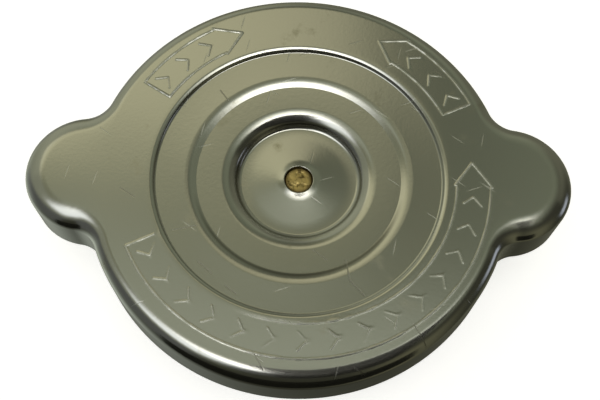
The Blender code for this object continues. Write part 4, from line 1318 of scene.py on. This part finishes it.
def spring_tree():
    tree, keys, given = new_tree("coil_spring", {
        "Radius": "Float", "Wire Radius": "Float", "Low": "Float", "High": "Float",
        "Active Turns": "Float", "Points": "Int", "Material": "Material"})
    line = add(tree, "GeometryNodeCurvePrimitiveLine")
    points = add(tree, "GeometryNodeResampleCurve", {"Curve": line, "Count": given["Points"]})
    known = {key: given[key] for key in keys}
    known["share"] = add(tree, "GeometryNodeSplineParameter")
    for result, first, operation, second in SPRING_SUMS:
        terms = {0: known[first], 1: known.get(second, second)}
        known[result] = add(tree, "ShaderNodeMath", terms, operation=operation)
    place = add(tree, "ShaderNodeCombineXYZ", {axis: known[axis] for axis in "XYZ"})
    coil = add(tree, "GeometryNodeSetPosition", {"Geometry": points, "Position": place})
    wire = add(tree, "GeometryNodeCurvePrimitiveCircle",
               {"Resolution": WIRE_SEGMENTS, "Radius": given["Wire Radius"]})
    swept = add(tree, "GeometryNodeCurveToMesh",
                {"Curve": coil, "Profile Curve": wire, "Fill Caps": True})
    smooth = add(tree, "GeometryNodeSetShadeSmooth", {"Geometry": swept})
    close_tree(tree, smooth, given["Material"])
    return tree, keys


coiling, coil_keys = spring_tree()
print("the spring tree has", len(coiling.nodes), "nodes")


def coil_spring(name, node, length, sizes):
    """Coil a spring on an empty mesh, and let it stand for its solid."""
    low = levels(node)[1]
    host = in_scene(name + "_start", bpy.data.meshes.new(name + "_start"))
    spring = bake_nodes(name, host, coiling, coil_keys, {
        "Low": low, "High": low + length, "Material": spring_steel, **sizes})
    stand_in(spring, node)
    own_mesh(spring)


coil_spring("pressure_valve_spring", "pressure_spring", 18.0 * MM, {
    "Radius": 17.5 * MM, "Wire Radius": 1.2 * MM, "Active Turns": 3.5, "Points": 360})
coil_spring("vacuum_valve_spring", "vacuum_spring", 5.8 * MM, {
    "Radius": 3.0 * MM, "Wire Radius": 0.25 * MM, "Active Turns": 3.0, "Points": 240})

# %% [markdown]
# ## Floor, light and camera
#
# The cap stands on its valve plate on a plain white floor. The floor glows a little by itself, so
# that it stays pale without strong lamps. It is left out of reflections, as if the cap had been
# shot on a dark card: bright paper under a mirror-like skirt would wash out its dark lower edge.

# %% Floor
FLOOR_HALF = 6.0
SPECKS_PER_METRE = 60.0


def floor_paint():
    material, tree = new_material("matt_white_paper")
    place = add(tree, "ShaderNodeTexCoord").outputs["Object"]
    speck = add(tree, "ShaderNodeTexNoise", {"Vector": place, "Scale": SPECKS_PER_METRE, "Detail": 3.0})
    tint = add(tree, "ShaderNodeMix", {"Factor": speck, 6: linear("#fbfbfa"),
                                       7: linear("#f7f7f5")}, data_type="RGBA")
    coat(tree, {"Base Color": tint, "Emission Color": tint, "Emission Strength": 0.7,
                "Roughness": 0.9})
    return material


def four_corners(name, corners, material):
    """One flat face that dresses the scene."""
    mesh = bpy.data.meshes.new(name)
    mesh.from_pydata(corners, [], [(0, 1, 2, 3)])
    mesh.materials.append(material)
    made = in_scene(name, mesh)
    return made


studio_floor = four_corners("studio_floor", [(x * FLOOR_HALF, y * FLOOR_HALF, 0.0) for x, y in
                                             ((-1, -1), (1, -1), (1, 1), (-1, 1))], floor_paint())
studio_floor.visible_glossy = False
print("the floor lies at z = 0")

# %% [markdown]
# ## A room of soft panels
#
# A plated surface shows the room more than the lamps. So the light is a dim room with soft
# rectangular panels in it: a lamp overhead, a window high on the left, a beige wall beyond, a
# cool window low on the right, and large dim ones for walls and floor. The world shader measures
# a direction along both axes of each panel and fades the panel out over its soft edge. The
# camera sees none of this, only a pale backdrop.

# %% Panels of the room
def compass(azimuth, from_top):
    """Direction at an azimuth from +X, so many degrees down from straight up."""
    a = math.radians(azimuth)
    t = math.radians(from_top)
    return (math.sin(t) * math.cos(a), math.sin(t) * math.sin(a), math.cos(t))


class Panel:
    """A soft rectangle of light: its middle, its half sizes and edge in degrees, its colour."""

    def __init__(self, azimuth, from_top, half_width, half_height, edge, colour, strength, turn=0.0):
        self.middle = Vector(compass(azimuth, from_top))
        across = Vector(compass(azimuth + 90.0, 90.0))
        down = self.middle.cross(across)
        roll = math.radians(turn)
        self.across = across * math.cos(roll) + down * math.sin(roll)
        self.down = down * math.cos(roll) - across * math.sin(roll)
        self.half_sizes = (half_width, half_height)
        self.edge = edge
        self.colour = colour
        self.strength = strength

    def span(self, tree, look, axis, half):
        """1 inside the panel along one of its axes, fading to 0 over its soft edge."""
        along = add(tree, "ShaderNodeVectorMath", {0: look, 1: axis}, operation="DOT_PRODUCT")
        away = add(tree, "ShaderNodeMath", {0: along}, operation="ABSOLUTE")
        inner = math.sin(math.radians(max(half - self.edge, 0.0)))
        outer = math.sin(math.radians(min(half + self.edge, 89.0)))
        return add(tree, "ShaderNodeMapRange", {"Value": away, "From Min": inner, "From Max": outer,
                                                "To Min": 1.0, "To Max": 0.0},
                   interpolation_type="SMOOTHSTEP")

    def glow(self, tree, look):
        """How much of the panel a direction of look meets, times its strength."""
        facing = add(tree, "ShaderNodeVectorMath", {0: look, 1: self.middle}, operation="DOT_PRODUCT")
        front = add(tree, "ShaderNodeMath", {0: facing, 1: 0.0}, operation="GREATER_THAN")
        light = self.span(tree, look, self.across, self.half_sizes[0])
        high = self.span(tree, look, self.down, self.half_sizes[1])
        for factor in (high, front, self.strength):
            light = add(tree, "ShaderNodeMath", {0: light, 1: factor}, operation="MULTIPLY")
        return light


OVERHEAD_LAMP = Panel(293.0, 10.0, 17.0, 11.0, 9.0, "#fdf9f6", 3.2, turn=-15.0)
LEFT_WINDOW = Panel(212.0, 27.0, 14.0, 14.0, 7.0, "#f3f5ff", 1.2, turn=-8.0)
ROOM_BEYOND = Panel(142.0, 46.0, 33.0, 53.0, 8.0, "#fcffd2", 0.16, turn=-25.0)
BEIGE_WALL = Panel(115.0, 37.0, 19.0, 8.0, 3.0, "#fff6d2", 0.44, turn=-21.0)
LOW_ROOM_BEYOND = Panel(83.0, 110.0, 63.0, 58.0, 24.0, "#ffffe0", 0.12)
LEFT_WALL = Panel(167.0, 65.0, 58.0, 33.0, 6.0, "#f0f4ff", 0.08, turn=14.0)
RIGHT_WALL = Panel(46.0, 32.0, 13.0, 44.0, 12.0, "#f4ffdd", 0.16, turn=42.0)
LOW_WINDOW = Panel(1.0, 89.0, 9.0, 10.0, 4.0, "#e2e9ff", 0.6)
FLOOR_LEFT = Panel(175.0, 128.0, 30.0, 27.0, 27.0, "#f6fff6", 0.5, turn=-34.0)
FLOOR_RIGHT = Panel(313.0, 98.0, 16.0, 42.0, 16.0, "#fff9c8", 0.1, turn=-12.0)
CEILING = Panel(84.0, 10.0, 20.0, 8.0, 4.0, "#f8fffa", 0.18, turn=-8.0)
PANELS = [OVERHEAD_LAMP, LEFT_WINDOW, ROOM_BEYOND, BEIGE_WALL, LOW_ROOM_BEYOND, LEFT_WALL,
          RIGHT_WALL, LOW_WINDOW, FLOOR_LEFT, FLOOR_RIGHT, CEILING]
ROOM_SHADE = "#38382f"
PALE_BACKDROP = "#f1f1ee"


def studio_world():
    world = bpy.data.worlds.new("studio_room")
    world.use_nodes = True
    tree = world.node_tree
    look = add(tree, "ShaderNodeTexCoord").outputs["Generated"]
    light = linear(ROOM_SHADE)
    for panel in PANELS:
        light = add(tree, "ShaderNodeMix", {"Factor": panel.glow(tree, look), 6: light,
                                            7: linear(panel.colour)}, data_type="RGBA",
                    blend_type="ADD", clamp_factor=False)
    seen = add(tree, "ShaderNodeLightPath").outputs["Is Camera Ray"]
    shown = add(tree, "ShaderNodeMix", {"Factor": seen, 6: light, 7: linear(PALE_BACKDROP)},
                data_type="RGBA")
    fill(tree, tree.nodes["Background"], {"Color": shown})
    print("the room has", len(PANELS), "panels")
    return world


bpy.context.scene.world = studio_world()
bpy.context.scene.view_settings.view_transform = "Standard"

# %% Camera
CAMERA_ELEVATION = math.radians(64.92)
CAMERA_DISTANCE = 167.7 * MM
CAMERA_ROLL = math.radians(-1.59)
AIM_RIGHT = math.radians(0.12)
AIM_DOWN = math.radians(1.72)
FOCAL_PIXELS = 895.1
FRAME_WIDTH = 600
SENSOR_WIDTH = 36.0

camera_data = bpy.data.cameras.new("camera")
camera_data.sensor_width = SENSOR_WIDTH
camera_data.lens = FOCAL_PIXELS * SENSOR_WIDTH / FRAME_WIDTH
camera_data.clip_start = 10.0 * MM
camera = in_scene("camera", camera_data)
back = Vector((0.0, -math.cos(CAMERA_ELEVATION), math.sin(CAMERA_ELEVATION)))
aimed = (-back).to_track_quat("-Z", "Y").to_matrix()
for turn, axis in ((AIM_RIGHT, "Y"), (AIM_DOWN, "X"), (CAMERA_ROLL, "Z")):
    aimed = aimed @ Matrix.Rotation(-turn, 3, axis)
place = Vector((0.0, 0.0, COVER_TOP)) + back * CAMERA_DISTANCE
camera.matrix_world = Matrix.Translation(place) @ aimed.to_4x4()
bpy.context.scene.camera = camera
print("the camera stands", round(1000 * camera.matrix_world.translation.z), "mm up")

# %% [markdown]
# ## What stands before the cap
#
# A mirror-like cap also shows what stands before it, as dark shapes. Here that is a black card
# round the lens and a dark apron below it. Only reflections show them: they darken the walls
# that face the camera, and the bend of the near rim.

# %% Black card and apron
CARD_LEFT = 24.0 * MM
CARD_RIGHT = 123.0 * MM
CARD_TOP = 64.0 * MM
CARD_BOTTOM = 104.0 * MM
CARD_BEHIND = 4.0 * MM
APRON_LEFT = -260.0 * MM
APRON_RIGHT = 220.0 * MM
APRON_Y = -220.0 * MM
APRON_LOW = -130.0 * MM
APRON_HIGH = 80.0 * MM


def dark_sheet(name, corners, material):
    """A black sheet that only reflections show."""
    dark = four_corners(name, corners, material)
    dark.visible_camera = False
    dark.visible_diffuse = False
    dark.visible_shadow = False


cloth, cloth_tree = new_material("matt_black_cloth")
coat(cloth_tree, {"Base Color": linear("#15140f"), "Roughness": 1.0})
card_corners = ((-CARD_LEFT, -CARD_BOTTOM), (CARD_RIGHT, -CARD_BOTTOM),
                (CARD_RIGHT, CARD_TOP), (-CARD_LEFT, CARD_TOP))
dark_sheet("dark_lens_card",
           [camera.matrix_world @ Vector((x, y, CARD_BEHIND)) for x, y in card_corners], cloth)
dark_sheet("dark_apron",
           [(APRON_LEFT, APRON_Y, APRON_LOW), (APRON_RIGHT, APRON_Y, APRON_LOW),
            (APRON_RIGHT, APRON_Y, APRON_HIGH), (APRON_LEFT, APRON_Y, APRON_HIGH)], cloth)
print("two dark sheets stand before the cap")
